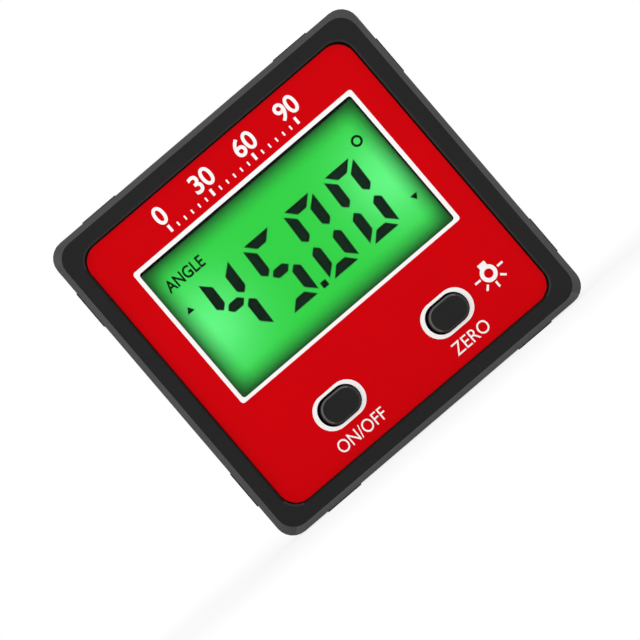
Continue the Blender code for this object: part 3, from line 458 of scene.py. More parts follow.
def edge_fade(tree, across, span, reach, power):
    """Zero at both limits of a span, one further in than the reach."""
    from_low = calculate(tree, "SUBTRACT", across, span[0])
    from_high = calculate(tree, "SUBTRACT", span[1], across)
    nearest = calculate(tree, "MINIMUM", from_low, from_high)
    share = calculate(tree, "DIVIDE", nearest, reach, clamp=True)
    rest = calculate(tree, "POWER", calculate(tree, "SUBTRACT", 1.0, share), power)
    return calculate(tree, "SUBTRACT", 1.0, rest)


def mix_shades(tree, factor, first, second):
    mix = tree.nodes.new("ShaderNodeMix")
    mix.data_type = "RGBA"
    tree.links.new(factor, mix.inputs["Factor"])
    for socket, value in ((mix.inputs["A"], first), (mix.inputs["B"], second)):
        if isinstance(value, tuple):
            socket.default_value = (*value, 1.0)
        else:
            tree.links.new(value, socket)
    return mix.outputs["Result"]


def lit_display(name, span_x, span_up):
    """Green backlit cell: two bright spots at the lamps, and painted shade that darkens it towards the
    edges of the opening.
    """
    material = bpy.data.materials.new(name)
    tree, shader = nodes_of(material)
    where = tree.nodes.new("ShaderNodeTexCoord")
    split = tree.nodes.new("ShaderNodeSeparateXYZ")
    tree.links.new(where.outputs["Object"], split.inputs["Vector"])
    x, up = split.outputs["X"], split.outputs["Z"]
    height = bell(tree, up, CENTRE_UP + GLOW_UP, GLOW_HEIGHT)
    spots = [calculate(tree, "MULTIPLY", bell(tree, x, side * GLOW_X, GLOW_WIDTH), height)
             for side in (-1, 1)]
    glow = calculate(tree, "ADD", *spots, clamp=True)
    lit = mix_shades(tree, glow, GLOW_MIDDLE, GLOW_BRIGHT)
    # Painted shade towards the edges of the opening.
    fade = calculate(tree, "MULTIPLY", edge_fade(tree, x, span_x, EDGE_SHADE_REACH_X, EDGE_SHADE_POWER),
                     edge_fade(tree, up, span_up, EDGE_SHADE_REACH_UP, EDGE_SHADE_POWER))
    colour = mix_shades(tree, fade, DISPLAY_PAINTED_EDGE_SHADE, lit)
    tree.links.new(colour, shader.inputs["Emission Color"])
    shader.inputs["Emission Strength"].default_value = 1.0
    grain = object_noise(tree, CELL_GRAIN)
    tree.links.new(spread(tree, grain, *CELL_ROUGHNESS), shader.inputs["Roughness"])
    shader.inputs["Base Color"].default_value = (*CELL_BASE, 1.0)
    shader.inputs["Specular IOR Level"].default_value = CELL_SPECULAR
    material.diffuse_color = (*GLOW_MIDDLE, 1.0)
    return material


def circuit_resist(name):
    """Green solder resist over copper tracks that show as faint paler lines."""
    material = bpy.data.materials.new(name)
    tree, shader = nodes_of(material)
    where = tree.nodes.new("ShaderNodeTexCoord")
    scale = tree.nodes.new("ShaderNodeMapping")
    scale.inputs["Rotation"].default_value = (math.pi / 2, 0.0, 0.0)
    scale.inputs["Scale"].default_value = (TRACKS_PER_METRE, TRACKS_PER_METRE, TRACKS_PER_METRE)
    bricks = tree.nodes.new("ShaderNodeTexBrick")
    bricks.inputs["Scale"].default_value = 1.0
    bricks.inputs["Mortar Size"].default_value = TRACK_SHARE
    for socket, colour in (("Color1", RESIST_DARK), ("Color2", RESIST_PALE), ("Mortar", TRACK_GREEN)):
        bricks.inputs[socket].default_value = (*colour, 1.0)
    tree.links.new(where.outputs["Object"], scale.inputs["Vector"])
    tree.links.new(scale.outputs["Vector"], bricks.inputs["Vector"])
    tree.links.new(bricks.outputs["Color"], shader.inputs["Base Color"])
    grain = object_noise(tree, RESIST_GRAIN)
    tree.links.new(spread(tree, grain, *RESIST_ROUGHNESS), shader.inputs["Roughness"])
    add_bump(tree, shader, bricks.outputs["Fac"], TRACK_RISE)
    material.diffuse_color = (*RESIST_MIDDLE, 1.0)
    return material


def sleeve(name, side):
    """A printed film sleeve along X: dark with a copper band and a thin pale line at its positive end."""
    material = bpy.data.materials.new(name)
    tree, shader = nodes_of(material)
    where = tree.nodes.new("ShaderNodeTexCoord")
    split = tree.nodes.new("ShaderNodeSeparateXYZ")
    tree.links.new(where.outputs["Object"], split.inputs["Vector"])
    along = calculate(tree, "MULTIPLY_ADD", split.outputs["X"], side / CELL_LENGTH, 1 / 2)
    bands = tree.nodes.new("ShaderNodeValToRGB")
    bands.color_ramp.interpolation = "CONSTANT"
    tree.links.new(along, bands.inputs["Fac"])
    first, second = bands.color_ramp.elements
    first.color = (*SLEEVE_DARK, 1.0)
    second.position = SLEEVE_BAND
    second.color = (*SLEEVE_COPPER, 1.0)
    line = bands.color_ramp.elements.new(SLEEVE_BAND - SLEEVE_LINE)
    line.color = (*SLEEVE_PALE, 1.0)
    tree.links.new(bands.outputs["Color"], shader.inputs["Base Color"])
    wear = object_noise(tree, SLEEVE_WEAR)
    tree.links.new(spread(tree, wear, *SLEEVE_ROUGHNESS), shader.inputs["Roughness"])
    add_bump(tree, shader, wear, SLEEVE_RELIEF)
    material.diffuse_color = (*SLEEVE_DARK, 1.0)
    return material


CLEAR_WINDOW = glass("clear_window", (0.97, 0.99, 0.98), 0.02, 1.12)
DISPLAY_GREEN = lit_display("display_green", DISPLAY_X, DISPLAY_UP)
BOARD_GREEN = circuit_resist("board_green")
CELL_SLEEVES = {"upper": sleeve("cell_sleeve_upper", 1), "lower": sleeve("cell_sleeve_lower", -1)}


# Mesh tools

def add_object(name, shape, *materials):
    """Turn a bmesh whose points are already in place into an object at the origin."""
    mesh = bpy.data.meshes.new(name)
    shape.to_mesh(mesh)
    shape.free()
    for material in materials:
        mesh.materials.append(material)
    item = bpy.data.objects.new(name, mesh)
    bpy.context.scene.collection.objects.link(item)
    return item


def around(middle, size):
    return (middle - size / 2, middle + size / 2)


def soften(item, width=MICRO_BEVEL, steps=2):
    """Round every crisp edge a little and shade the faces between them smooth."""
    bevel = item.modifiers.new("soft_edges", "BEVEL")
    bevel.width = width
    bevel.segments = steps
    bevel.limit_method = "ANGLE"
    bevel.angle_limit = CRISP_ANGLE
    item.data.shade_smooth()
    even = item.modifiers.new("even_normals", "WEIGHTED_NORMAL")
    even.keep_sharp = True
    return item


def bake(item):
    """Apply an object's modifiers to its mesh."""
    graph = bpy.context.evaluated_depsgraph_get()
    mesh = bpy.data.meshes.new_from_object(item.evaluated_get(graph))
    item.modifiers.clear()
    item.data = mesh
    return item


def refine(node, body, slot, *materials, width=MICRO_BEVEL, reshape=None, paint=None):
    """A finer copy of a CAD node: flat faces merged, crisp edges rounded. Paint numbers a face's finish."""
    shape = bmesh.new()
    shape.from_mesh(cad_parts[node].data)
    bmesh.ops.remove_doubles(shape, verts=shape.verts, dist=MERGE_DISTANCE)
    bmesh.ops.dissolve_limit(shape, angle_limit=FLAT_ANGLE, verts=shape.verts, edges=shape.edges)
    if reshape:
        reshape(shape)
    shape.normal_update()
    for face in shape.faces:
        face.material_index = paint(face) if paint else 0
    item = add_object(f"{node}_shell", shape, *materials)
    soften(item, width)
    attach(item, body, slot, node)
    return item


def attach(item, body, slot, *nodes):
    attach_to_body(item, body)
    if nodes:
        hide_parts(*nodes)
    return item


def keep(node, material):
    """Show a CAD node as it is, with a better finish."""
    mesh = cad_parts[node].data
    for index in range(len(mesh.materials)):
        mesh.materials[index] = material


def add_ring(shape, outline, depth):
    return [shape.verts.new((x, depth, CENTRE_UP + up)) for x, up in outline]


def loft(name, layers, *materials):
    """A closed skin through outlines of equally many (x, up) points, each at its depth, rear to front."""
    shape = bmesh.new()
    rings = [add_ring(shape, outline, depth) for depth, outline in layers]
    for rear, front in zip(rings, rings[1:]):
        for index in range(len(rear)):
            after = (index + 1) % len(rear)
            shape.faces.new((rear[index], rear[after], front[after], front[index]))
    shape.faces.new(list(reversed(rings[0])))
    shape.faces.new(rings[-1])
    bmesh.ops.recalc_face_normals(shape, faces=shape.faces)
    return add_object(name, shape, *materials)


def rounded_outline(span_x, span_up, radius, steps):
    """A rectangle with round corners as (x, up) points, anticlockwise from the lower right corner."""
    points = []
    for number in range(4):
        x = span_x[1] - radius if number in (0, 1) else span_x[0] + radius
        up = span_up[1] - radius if number in (1, 2) else span_up[0] + radius
        for step in range(steps + 1):
            angle = (number - 1 + step / steps) * math.pi / 2
            points.append((x + radius * math.cos(angle), up + radius * math.sin(angle)))
    return points


def obround(span_x, span_up, steps=KEY_STEPS):
    return rounded_outline(span_x, span_up, ROUND_END_SHARE * (span_up[1] - span_up[0]) / 2, steps)


def key_hole(x, margin_x=0.0, margin_up=0.0):
    """The outline of a key's hole in the plate, grown by margins."""
    span_up = (KEY_HOLE_UP[0] - margin_up, KEY_HOLE_UP[1] + margin_up)
    return obround(around(x, KEY_HOLE_WIDTH + 2 * margin_x), span_up)


def circle(x, up, radius, sides=RING_SIDES):
    return [(x + radius * math.cos(turn), up + radius * math.sin(turn))
            for turn in (2 * math.pi * index / sides for index in range(sides))]


def add_slab(shape, outline, span_y):
    """Add one flat plate with an (x, up) outline to a bmesh."""
    rear, front = [add_ring(shape, outline, depth) for depth in reversed(span_y)]
    for index in range(len(outline)):
        after = (index + 1) % len(outline)
        shape.faces.new((rear[index], rear[after], front[after], front[index]))
    shape.faces.new(list(reversed(rear)))
    shape.faces.new(front)


def add_frame(shape, outer, inner, span_y):
    """Add one flat ring between two outlines of equally many points to a bmesh."""
    front, rear = span_y
    rings = [add_ring(shape, outline, depth)
             for outline, depth in ((outer, rear), (outer, front), (inner, front), (inner, rear))]
    for number, ring in enumerate(rings):
        beyond = rings[(number + 1) % len(rings)]
        for index in range(len(ring)):
            after = (index + 1) % len(ring)
            shape.faces.new((ring[index], ring[after], beyond[after], beyond[index]))


def flat_piece(name, span_y, material, slabs=(), frames=()):
    """Plates and rings of one thickness, made as a single piece."""
    shape = bmesh.new()
    for outline in slabs:
        add_slab(shape, outline, span_y)
    for outer, inner in frames:
        add_frame(shape, outer, inner, span_y)
    bmesh.ops.recalc_face_normals(shape, faces=shape.faces)
    return add_object(name, shape, material)


def bar(start, end, width):
    """The outline of a straight stroke between two (x, up) points."""
    along = (Vector(end) - Vector(start)).normalized()
    side = Vector((-along.y, along.x)) * width / 2
    return [tuple(Vector(start) - side), tuple(Vector(end) - side), tuple(Vector(end) + side),
            tuple(Vector(start) + side)]


def lettering(name, text, span_x, span_up, span_y, material, weight=0.0):
    """Plain letters or figures that fill a given width and height."""
    curve = bpy.data.curves.new(name, "FONT")
    curve.body = text
    curve.offset = weight
    curve.extrude = 1.0
    source = bpy.data.objects.new(name, curve)
    bpy.context.scene.collection.objects.link(source)
    graph = bpy.context.evaluated_depsgraph_get()
    mesh = bpy.data.meshes.new_from_object(source.evaluated_get(graph))
    bpy.data.objects.remove(source)
    shape = bmesh.new()
    shape.from_mesh(mesh)
    bmesh.ops.remove_doubles(shape, verts=shape.verts, dist=LETTER_MERGE)
    low = [min(v.co[axis] for v in shape.verts) for axis in range(3)]
    high = [max(v.co[axis] for v in shape.verts) for axis in range(3)]
    for vertex in shape.verts:
        share = [(vertex.co[axis] - low[axis]) / (high[axis] - low[axis]) for axis in range(3)]
        vertex.co = (span_x[0] + share[0] * (span_x[1] - span_x[0]),
                     span_y[1] - share[2] * (span_y[1] - span_y[0]),
                     CENTRE_UP + span_up[0] + share[1] * (span_up[1] - span_up[0]))
    return add_object(name, shape, material)


def ball_profile(radius, height, steps):
    """Points of a domed end as (distance from axis, distance along) pairs, from rim to middle."""
    return [(radius * math.cos(turn), height * math.sin(turn))
            for turn in (math.pi / 2 * index / steps for index in range(steps + 1))]


def turned(name, foot, direction, profile, sides, *materials, finish=None):
    """A turned solid. The profile is (distance from axis, distance along) pairs from foot to tip."""
    shape = bmesh.new()
    turn = Vector((0, 0, 1)).rotation_difference(Vector(direction)).to_matrix()
    foot = Vector(foot) + Vector((0, 0, CENTRE_UP))
    rings = []
    for radius, height in profile:
        angles = [0.0] if radius == 0.0 else [2 * math.pi * index / sides for index in range(sides)]
        spots = [Vector((radius * math.cos(angle), radius * math.sin(angle), height)) for angle in angles]
        rings.append([shape.verts.new(foot + turn @ spot) for spot in spots])
    for number, (low, high) in enumerate(zip(rings, rings[1:])):
        count = max(len(low), len(high))
        for index in range(count):
            after = (index + 1) % count
            corners = [low[index % len(low)], low[after % len(low)], high[after % len(high)],
                       high[index % len(high)]]
            face = shape.faces.new(list(dict.fromkeys(corners)))
            face.material_index = finish[number] if finish else 0
            face.smooth = True
    bmesh.ops.recalc_face_normals(shape, faces=shape.faces)
    return add_object(name, shape, *materials)


# Case and faceplate

def case_finish(face):
    """Plain case, chamfer painted lighter as a highlight, recess rim with a painted highlight, pad, or
    lower chamfer painted lighter still as painted light, in the order of the case finishes.
    """
    middle = face.calc_center_median()
    x, up = middle.x, middle.z - CENTRE_UP
    if max(abs(x) - BODY_WIDTH / 2, abs(up) - BODY_HEIGHT / 2) > PAD_TEST:
        return 3
    if not EDGE_SLOPE[0] < abs(face.normal.y) < EDGE_SLOPE[1]:
        return 0
    if max(abs(x) - BODY_WIDTH / 2, abs(up) - BODY_HEIGHT / 2) > -2 * FRONT_CHAMFER:
        # Chamfers get the painted highlight; those facing down get the lighter painted light.
        return 4 if face.normal.z < -EDGE_SLOPE[0] else 1
    # The recess rim gets the painted highlight, except on its straight left and bottom sides, which keep
    # the plain case colour.
    return 0 if max(face.normal.x, face.normal.z) > RIM_STRAIGHT else 2


def widen_corners(shape):
    """Give the front face rounder corners than the outline, and draw the recess in at right and top."""
    inner_x, inner_up = BODY_WIDTH / 2 - FRONT_CHAMFER, BODY_HEIGHT / 2 - FRONT_CHAMFER
    recess_x, recess_up = FACEPLATE_WIDTH / 2 + FACEPLATE_GAP, FACEPLATE_HEIGHT / 2 + FACEPLATE_GAP
    recess_corner = FACEPLATE_CORNER + FACEPLATE_GAP
    for vertex in shape.verts:
        x, up = vertex.co.x, vertex.co.z - CENTRE_UP
        past_x = abs(x) - (inner_x - FRONT_CORNER) + MERGE_DISTANCE
        past_up = abs(up) - (inner_up - FRONT_CORNER) + MERGE_DISTANCE
        if vertex.co.y < FRONT_Y + MERGE_DISTANCE and past_x > 0.0 and past_up > 0.0:
            turn = math.atan2(past_up, past_x)
            vertex.co.x = math.copysign(inner_x - BODY_CORNER * (1 - math.cos(turn)), x)
            vertex.co.z = CENTRE_UP + math.copysign(inner_up - BODY_CORNER * (1 - math.sin(turn)), up)
        elif (vertex.co.y < WALL_FRONT + MERGE_DISTANCE and abs(x) < recess_x + 2 * RIM_CHAMFER
              and abs(up) < recess_up + 2 * RIM_CHAMFER):
            if x > recess_x - recess_corner - MERGE_DISTANCE:
                vertex.co.x -= RECESS_DRAW_RIGHT
            if up > recess_up - recess_corner - MERGE_DISTANCE:
                vertex.co.z -= RECESS_DRAW_TOP


def close_seam(shape):
    """Bring the front rim of the rear half close to the front half."""
    for vertex in shape.verts:
        if abs(vertex.co.y - REAR_HALF_START) < MERGE_DISTANCE:
            vertex.co.y -= SEAM_DRAW


def make_shells():
    finishes = (CASE_BLACK, CASE_CHAMFER_PAINTED_HIGHLIGHT, CASE_RIM_PAINTED_HIGHLIGHT, PAD_BLACK, CASE_LOWER_CHAMFER_PAINTED_LIGHT)
    refine("front_frame", "case", "case_black", *finishes, reshape=widen_corners, paint=case_finish)
    refine("rear_housing", "case", "case_black", *finishes, reshape=close_seam, paint=case_finish)
    refine("battery_door", "battery_door", "case_black", CASE_BLACK)
    refine("door_latch", "door_latch", "case_black", CASE_BLACK)
    ribs = [bar((-GRIP_X, up), (GRIP_X, up), GRIP_WIDTH) for up in GRIP_UP]
    grip = flat_piece("door_grip", (REAR_Y - GRIP_ROOT, REAR_Y + GRIP_RISE), CASE_BLACK,
                      slabs=[ARROW, *ribs])
    attach(soften(grip), "battery_door", "case_black")


def make_faceplate():
    """The red plate: close to the recess at left and bottom, with a gap at right and top."""
    half_x, half_up = FACEPLATE_WIDTH / 2, FACEPLATE_HEIGHT / 2
    outline = rounded_outline((-half_x - PLATE_SHIFT, half_x - RECESS_DRAW_RIGHT),
                              (-half_up - PLATE_SHIFT, half_up - RECESS_DRAW_TOP), PLATE_CORNER, KEY_STEPS)
    plate = flat_piece("red_plate", (PLATE_FRONT, PLATE_BACK), PLATE_RED, slabs=[outline])
    holes = [rounded_outline(OPENING_X, OPENING_UP, WINDOW_CORNER, BORDER_STEPS)]
    holes += [key_hole(x) for x in (POWER_KEY_X, ZERO_KEY_X)]
    through = (PLATE_FRONT - OVERRUN, PLATE_BACK + OVERRUN)
    carve(plate, flat_piece("plate_holes", through, PLATE_RED, slabs=holes))
    soften(plate, PLATE_BEVEL)
    attach(plate, "case", "plate_red", "faceplate")


def make_print():
    """The white print on the faceplate."""
    span_y = (PLATE_FRONT - PRINT_THICKNESS, PLATE_FRONT)
    outer = rounded_outline(BORDER_X, BORDER_UP, BORDER_CORNER, BORDER_STEPS)
    inner = rounded_outline(OPENING_X, OPENING_UP, WINDOW_CORNER, BORDER_STEPS)
    border = flat_piece("window_border", span_y, PRINT_WHITE, frames=[(outer, inner)])
    rings = [(key_hole(x, KEY_RING_X, KEY_RING_UP), key_hole(x)) for x in (POWER_KEY_X, ZERO_KEY_X)]
    key_rings = flat_piece("key_rings", span_y, PRINT_WHITE, frames=rings)
    labels = [lettering("power_label", "ON/OFF", POWER_LABEL_X, LABEL_UP, span_y, PRINT_WHITE),
              lettering("zero_label", "ZERO", ZERO_LABEL_X, LABEL_UP, span_y, PRINT_WHITE)]
    outside = [(BULB_X + NECK_FLARE * (x - BULB_X), BULB_UP + NECK_TOP)
               if abs(x - BULB_X) < NECK_REACH and up > BULB_UP else (x, up)
               for x, up in circle(BULB_X, BULB_UP, BULB_OUTER)]
    rays = [bar((BULB_X + start[0], BULB_UP + start[1]), (BULB_X + end[0], BULB_UP + end[1]), RAY_WIDTH)
            for start, end in BULB_RAYS]
    bulb = flat_piece("lamp_sign", span_y, PRINT_WHITE, slabs=rays,
                      frames=[(outside, circle(BULB_X, BULB_UP, BULB_INNER))])
    for item in (border, key_rings, *labels, bulb, *make_scale(span_y)):
        attach(item, "case", "plate_red")


def make_scale(span_y):
    """A plain scale of angles above the window."""
    ticks = []
    for number in range(SCALE_TICKS):
        x = SCALE_X[0] + (SCALE_X[1] - SCALE_X[0]) * number / (SCALE_TICKS - 1)
        long_tick = number % SCALE_STEP == 0
        top = SCALE_FOOT + (LONG_TICK if long_tick else SHORT_TICK)
        ticks.append(bar((x, SCALE_FOOT), (x, top), BOLD_TICK if long_tick else FINE_TICK))
    pieces = [flat_piece("scale_ticks", span_y, PRINT_WHITE, slabs=ticks)]
    for number, figures in enumerate(SCALE_FIGURES):
        middle = SCALE_X[0] + (SCALE_X[1] - SCALE_X[0]) * number / (len(SCALE_FIGURES) - 1)
        width = FIGURE_WIDTH * len(figures)
        pieces.append(lettering(f"scale_figure_{figures}", figures, around(middle, width), FIGURE_UP,
                                span_y, PRINT_WHITE, weight=BOLD_WEIGHT))
    return pieces


# Display

def narrow_mask_shadow_line(shape):
    """Narrow the dark line that the mask shows at the right of the window, a painted shadow of the window's
    edge.
    """
    for vertex in shape.verts:
        if abs(vertex.co.x - MASK_RIGHT) < MASK_SHADOW_LINE_DRAW:
            vertex.co.x += MASK_SHADOW_LINE_DRAW


def make_display():
    keep("window_lens", CLEAR_WINDOW)
    # The dark line of the mask inside the window's edge is a painted shadow.
    refine("lcd_mask", "case", "mask_black", MASK_BLACK, width=PLATE_BEVEL, reshape=narrow_mask_shadow_line)
    keep("lcd_glass", DISPLAY_GREEN)
    keep("light_guide", GUIDE_GREEN)
    keep("backlight_led_left", LAMP_GREEN)
    keep("backlight_led_right", LAMP_GREEN)
    keep("contact_strip", STRIP_RUBBER)
    span_y = (GLASS_FRONT - SEGMENT_THICKNESS, GLASS_FRONT)
    slabs = []
    for figure, shift_x, shift_up in READING:
        for segment in SEGMENTS_LIT[figure]:
            slabs.append([(x + shift_x, up + shift_up) for x, up in SEGMENTS[segment]])
    slabs += [DECIMAL_POINT, *TILT_MARKS]
    ring = (circle(*DEGREE_MIDDLE, DEGREE_OUTER), circle(*DEGREE_MIDDLE, DEGREE_INNER))
    digits = flat_piece("display_segments", span_y, SEGMENT_BLACK, slabs=slabs, frames=[ring])
    word = lettering("display_word", "ANGLE", WORD_X, WORD_UP, span_y, SEGMENT_BLACK, weight=WORD_WEIGHT)
    for item in (digits, word):
        attach(item, "case", "mask_black")


# Keys and switches

def make_keys():
    for label, x in (("power", POWER_KEY_X), ("zero", ZERO_KEY_X)):
        flange = key_hole(x, FLANGE_MARGIN, FLANGE_MARGIN)
        left, right, low, high = x + KEY_LIMITS[0], x + KEY_LIMITS[1], *KEY_LIMITS[2:]
        layers = [(FLANGE_BACK, flange), (FLANGE_FRONT, flange),
                  (FLANGE_FRONT, obround((left, right), (low, high)))]
        for depth, (from_left, from_right, from_low, from_high) in KEY_SLOPES:
            left, right, low, high = left + from_left, right - from_right, low + from_low, high - from_high
            layers.append((KEY_FRONT + depth, obround((left, right), (low, high))))
        cap = loft(f"{label}_key_cap", layers, KEY_BLACK, KEY_SLOPE_PAINTED_HIGHLIGHT, KEY_SLOPE_PAINTED_DIM_HIGHLIGHT)
        # Painted highlight: rim slope faces turned left or up get the bright paint, the rest the dim one.
        for face in cap.data.polygons:
            if MERGE_DISTANCE < face.center.y - KEY_FRONT < KEY_SLOPES[-2][0]:
                face.material_index = 1 if face.normal.x < face.normal.z else 2
        soften(cap, PLATE_BEVEL)
        attach(cap, f"{label}_button", "key_black", f"{label}_button")
        stem = refine(f"{label}_switch_plunger", f"{label}_plunger", "key_black", KEY_BLACK)
        stem.name = f"{label}_switch_stem"
        refine(f"{label}_switch_body", "case", "chip_black", CHIP_BLACK)


# Battery bay

def make_cells():
    """Two cells with a printed sleeve and plain metal ends."""
    foot_round = [(CELL_RADIUS - CELL_EDGE + out, CELL_EDGE - along)
                  for out, along in reversed(ball_profile(CELL_EDGE, CELL_EDGE, CELL_EDGE_STEPS))]
    top_round = [(CELL_RADIUS - CELL_EDGE + out, CELL_SHOULDER - CELL_EDGE + along)
                 for out, along in ball_profile(CELL_EDGE, CELL_EDGE, CELL_EDGE_STEPS)]
    lip = CELL_RADIUS - CELL_LIP
    cap = CELL_SHOULDER - CELL_LIP_DEPTH
    profile = [(0.0, CELL_LIP_DEPTH), (lip, CELL_LIP_DEPTH), (lip, 0.0), *foot_round, *top_round,
               (lip, CELL_SHOULDER), (lip, cap), (CELL_NUB, cap), (CELL_NUB, CELL_LENGTH - CELL_NUB_EDGE),
               (CELL_NUB - CELL_NUB_EDGE, CELL_LENGTH), (0.0, CELL_LENGTH)]
    cap_start = profile.index((lip, cap))
    finish = [int(number == 0 or number >= cap_start) for number in range(len(profile) - 1)]
    for label, side in (("upper", 1), ("lower", -1)):
        foot = (side * (CELL_SHIFT - CELL_LENGTH / 2), CELL_Y, side * CELL_UP)
        cell = turned(f"cell_{label}", foot, (side, 0, 0), profile, CELL_SIDES, CELL_SLEEVES[label], NICKEL,
                      finish=finish)
        soften(cell, PLATE_BEVEL, 1)
        attach(cell, "case", "cell_sleeve", f"battery_{label}")


def make_springs():
    for label, side in (("upper", 1), ("lower", -1)):
        start_x = -side * (PLATE_X - SEAT_GAP)
        coil = SPRING_LENGTH - 2 * SPRING_WIRE
        count = SPRING_TURNS * SPRING_POINTS
        path = [(0.0, 0.0)] + [(SPRING_WIRE + coil * n / count, 2 * math.pi * SPRING_TURNS * n / count)
                               for n in range(count + 1)] + [(SPRING_LENGTH, 2 * math.pi * SPRING_TURNS)]
        curve = bpy.data.curves.new(f"coil_{label}", "CURVE")
        curve.dimensions = "3D"
        curve.bevel_depth = SPRING_WIRE / 2
        curve.bevel_resolution = 4
        curve.use_fill_caps = True
        line = curve.splines.new("POLY")
        line.points.add(len(path) - 1)
        for spot, (along, turn) in zip(line.points, path):
            spot.co = (start_x + side * along, CELL_Y + SPRING_RADIUS * math.cos(turn),
                       CENTRE_UP + side * CELL_UP + SPRING_RADIUS * math.sin(turn), 1.0)
        line.use_smooth = True
        curve.materials.append(SPRING_STEEL)
        item = bpy.data.objects.new(f"coil_{label}", curve)
        bpy.context.scene.collection.objects.link(item)
        attach(item, "case", "spring_steel", f"battery_spring_{label}")


def make_contacts():
    for node in ("contact_plate_negative", "contact_plate_positive", "contact_bridge"):
        refine(node, "case", "contact_nickel", NICKEL, width=PLATE_BEVEL)


# Screws, magnets and board

def make_screws():
    """Pan head screws with a cross recess and a thread."""
    for number, (side_x, side_up) in enumerate(CORNERS, 1):
        make_screw(f"case_screw_{number}", side_x * SCREW_X, side_up * SCREW_UP, CASE_SCREW_SEAT,
                   CASE_SCREW_HEAD, CASE_SCREW_HEAD_RADIUS, CASE_SCREW_RADIUS, CASE_SCREW_LENGTH)
    for number, (x, up) in enumerate(BOARD_SCREWS, 1):
        make_screw(f"board_screw_{number}", x, up, BOARD_SCREW_SEAT, BOARD_SCREW_HEAD,
                   BOARD_SCREW_HEAD_RADIUS, BOARD_SCREW_RADIUS, BOARD_SCREW_LENGTH)


def make_screw(node, x, up, seat, head, head_radius, shank_radius, length):
    """One screw along the depth: the head bears on the seat and the shank points to the front."""
    thread = []
    count = int(length / THREAD_PITCH)
    for turn in range(count):
        depth = TIP_LENGTH + turn * (length - 2 * TIP_LENGTH) / count
        thread += [(shank_radius - THREAD_DEPTH, depth), (shank_radius, depth + THREAD_PITCH / 2)]
    rim = length + head / 2
    dome = [(radius, rim + rise) for radius, rise in ball_profile(head_radius, head / 2, HEAD_STEPS)[:-1]]
    profile = [(0.0, 0.0), (shank_radius / 2, 0.0), *thread, (shank_radius, length), (head_radius, length),
               *dome, (0.0, length + head)]
    screw = turned(f"{node}_fastener", (x, seat - length, up), (0, 1, 0), profile, SCREW_SIDES, STEEL)
    arm = CROSS_REACH * head_radius
    slots = bmesh.new()
    for width, height in ((arm, CROSS_WIDTH), (CROSS_WIDTH, arm)):
        add_slab(slots, [(x - width / 2, up - height / 2), (x + width / 2, up - height / 2),
                         (x + width / 2, up + height / 2), (x - width / 2, up + height / 2)],
                 (seat + head - CROSS_DEPTH, seat + head + OVERRUN))
    bmesh.ops.recalc_face_normals(slots, faces=slots.faces)
    carve(screw, add_object(f"{node}_slots", slots))
    soften(screw, PLATE_BEVEL, 1)
    attach(screw, "case", "steel", node)


def carve(item, tool):
    """Cut a tool out of a piece and throw the tool away."""
    step = item.modifiers.new("carve", "BOOLEAN")
    step.operation = "DIFFERENCE"
    step.solver = "EXACT"
    step.use_self = True
    step.object = tool
    bake(item)
    bpy.data.objects.remove(tool)


def make_magnets():
    for level, ends in (("top", ("left", "right")), ("bottom", ("left", "right")),
                        ("left", ("lower", "upper")), ("right", ("lower", "upper"))):
        for end in ends:
            refine(f"magnet_{level}_{end}", "case", "magnet_nickel", MAGNET_NICKEL, width=MAGNET_EDGE)


def make_board():
    keep("circuit_board", BOARD_GREEN)
    for node, slot, finish in (("microcontroller", "chip_black", CHIP_BLACK),
                               ("tilt_sensor", "chip_black", CHIP_BLACK),
                               ("crystal", "steel", STEEL), ("capacitor_1", "capacitor_silver", CAN_SILVER),
                               ("capacitor_2", "capacitor_silver", CAN_SILVER)):
        refine(node, "case", slot, finish, width=MAGNET_EDGE)
    leads = []
    for number in range(LEAD_COUNT):
        offset = (number - (LEAD_COUNT - 1) / 2) * LEAD_PITCH
        for side in (-1, 1):
            near, far = side * CHIP_SIDE / 2, side * (CHIP_SIDE / 2 + LEAD_LENGTH)
            leads.append(bar((near, CHIP_UP + offset), (far, CHIP_UP + offset), LEAD_WIDTH))
            leads.append(bar((offset, CHIP_UP + near), (offset, CHIP_UP + far), LEAD_WIDTH))
    legs = flat_piece("chip_legs", (BOARD_BACK, BOARD_BACK + LEAD_HEIGHT), STEEL, slabs=leads)
    chips = [[(x - RESISTOR / 2, up - RESISTOR / 4), (x + RESISTOR / 2, up - RESISTOR / 4),
              (x + RESISTOR / 2, up + RESISTOR / 4), (x - RESISTOR / 2, up + RESISTOR / 4)]
             for x, up in RESISTORS]
    small_parts = flat_piece("chip_resistors", (BOARD_BACK, BOARD_BACK + RESISTOR_HEIGHT), CHIP_BLACK,
                             slabs=chips)
    soften(small_parts, PLATE_BEVEL)
    attach(legs, "case", "steel")
    attach(small_parts, "case", "chip_black")


# Surroundings

def white_rays(tree):
    """One for camera, glossy and transmission rays, zero for the rest."""
    path = tree.nodes.new("ShaderNodeLightPath")
    seen = calculate(tree, "MAXIMUM", path.outputs["Is Camera Ray"], path.outputs["Is Glossy Ray"])
    return calculate(tree, "MAXIMUM", seen, path.outputs["Is Transmission Ray"])


def make_world():
    world = bpy.data.worlds.new("studio")
    bpy.context.scene.world = world
    world.use_nodes = True
    tree = world.node_tree
    plain = tree.nodes["Background"]
    plain.inputs["Color"].default_value = (1.0, 1.0, 1.0, 1.0)
    plain.inputs["Strength"].default_value = WORLD_LIGHT
    white = tree.nodes.new("ShaderNodeBackground")
    white.inputs["Color"].default_value = (1.0, 1.0, 1.0, 1.0)
    white.inputs["Strength"].default_value = 1.0
    mix = tree.nodes.new("ShaderNodeMixShader")
    tree.links.new(white_rays(tree), mix.inputs["Fac"])
    tree.links.new(plain.outputs["Background"], mix.inputs[1])
    tree.links.new(white.outputs["Background"], mix.inputs[2])
    tree.links.new(mix.outputs["Shader"], tree.nodes["World Output"].inputs["Surface"])


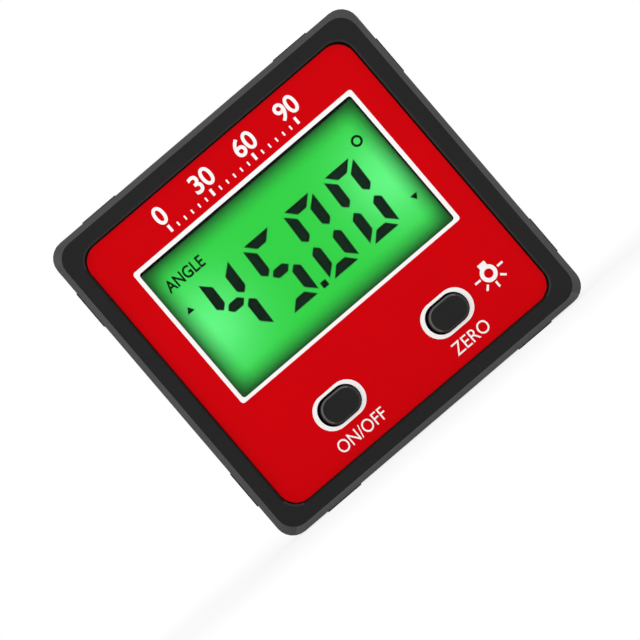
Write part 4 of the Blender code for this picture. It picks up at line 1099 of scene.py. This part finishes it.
def make_floor():
    shape = bmesh.new()
    bmesh.ops.create_grid(shape, x_segments=2, y_segments=2, size=FLOOR_SIDE / 2)
    material = bpy.data.materials.new("floor_pale")
    tree, shader = nodes_of(material)
    grain = object_noise(tree, FLOOR_GRAIN)
    tree.links.new(blend_colours(tree, grain, *FLOOR_GREYS), shader.inputs["Base Color"])
    shader.inputs["Roughness"].default_value = FLOOR_ROUGHNESS
    shader.inputs["Specular IOR Level"].default_value = 0.0
    white = tree.nodes.new("ShaderNodeEmission")
    white.inputs["Strength"].default_value = 1.0
    where = tree.nodes.new("ShaderNodeTexCoord")
    reach = tree.nodes.new("ShaderNodeVectorMath")
    reach.operation = "LENGTH"
    tree.links.new(where.outputs["Object"], reach.inputs[0])
    fade = tree.nodes.new("ShaderNodeMapRange")
    fade.interpolation_type = "SMOOTHSTEP"
    near, far = SHADOW_REACH
    for label, value in (("From Min", near), ("From Max", far), ("To Min", FLOOR_WHITE)):
        fade.inputs[label].default_value = value
    tree.links.new(reach.outputs["Value"], fade.inputs["Value"])
    mix = tree.nodes.new("ShaderNodeMixShader")
    tree.links.new(calculate(tree, "MULTIPLY", white_rays(tree), fade.outputs["Result"]), mix.inputs["Fac"])
    tree.links.new(shader.outputs["BSDF"], mix.inputs[1])
    tree.links.new(white.outputs["Emission"], mix.inputs[2])
    tree.links.new(mix.outputs["Shader"], tree.nodes["Material Output"].inputs["Surface"])
    floor = add_object("floor", shape, material)


def make_lamp(name, offset, size, power):
    """A square softbox at an offset from the middle of the object, turned towards it."""
    light = bpy.data.lights.new(name, "AREA")
    light.shape = "SQUARE"
    light.size = size
    light.energy = power
    item = bpy.data.objects.new(name, light)
    bpy.context.scene.collection.objects.link(item)
    item.location = Vector((0.0, 0.0, CENTRE_UP)) + Vector(offset)
    item.rotation_euler = (-Vector(offset)).to_track_quat("-Z", "Y").to_euler()


def make_camera():
    camera = bpy.data.cameras.new("camera")
    camera.lens = CAMERA_LENS
    camera.sensor_width = CAMERA_SENSOR
    camera.clip_start = CLIP_NEAR
    camera.clip_end = CLIP_FAR
    item = bpy.data.objects.new("camera", camera)
    bpy.context.scene.collection.objects.link(item)
    distance = VIEW_WIDTH * CAMERA_LENS / CAMERA_SENSOR
    facing = Matrix.Rotation(math.pi / 2, 4, "X") @ Matrix.Rotation(-IMAGE_ROLL, 4, "Z")
    item.matrix_world = Matrix.Translation((CAMERA_X, FRONT_Y - distance, CAMERA_Z)) @ facing
    bpy.context.scene.camera = item


make_shells()
make_faceplate()
make_print()
make_display()
make_keys()
make_cells()
make_springs()
make_contacts()
make_screws()
make_magnets()
make_board()
make_world()
make_floor()
for lamp in LAMPS:
    make_lamp(*lamp)
make_camera()
bpy.context.scene.view_settings.view_transform = "Standard"
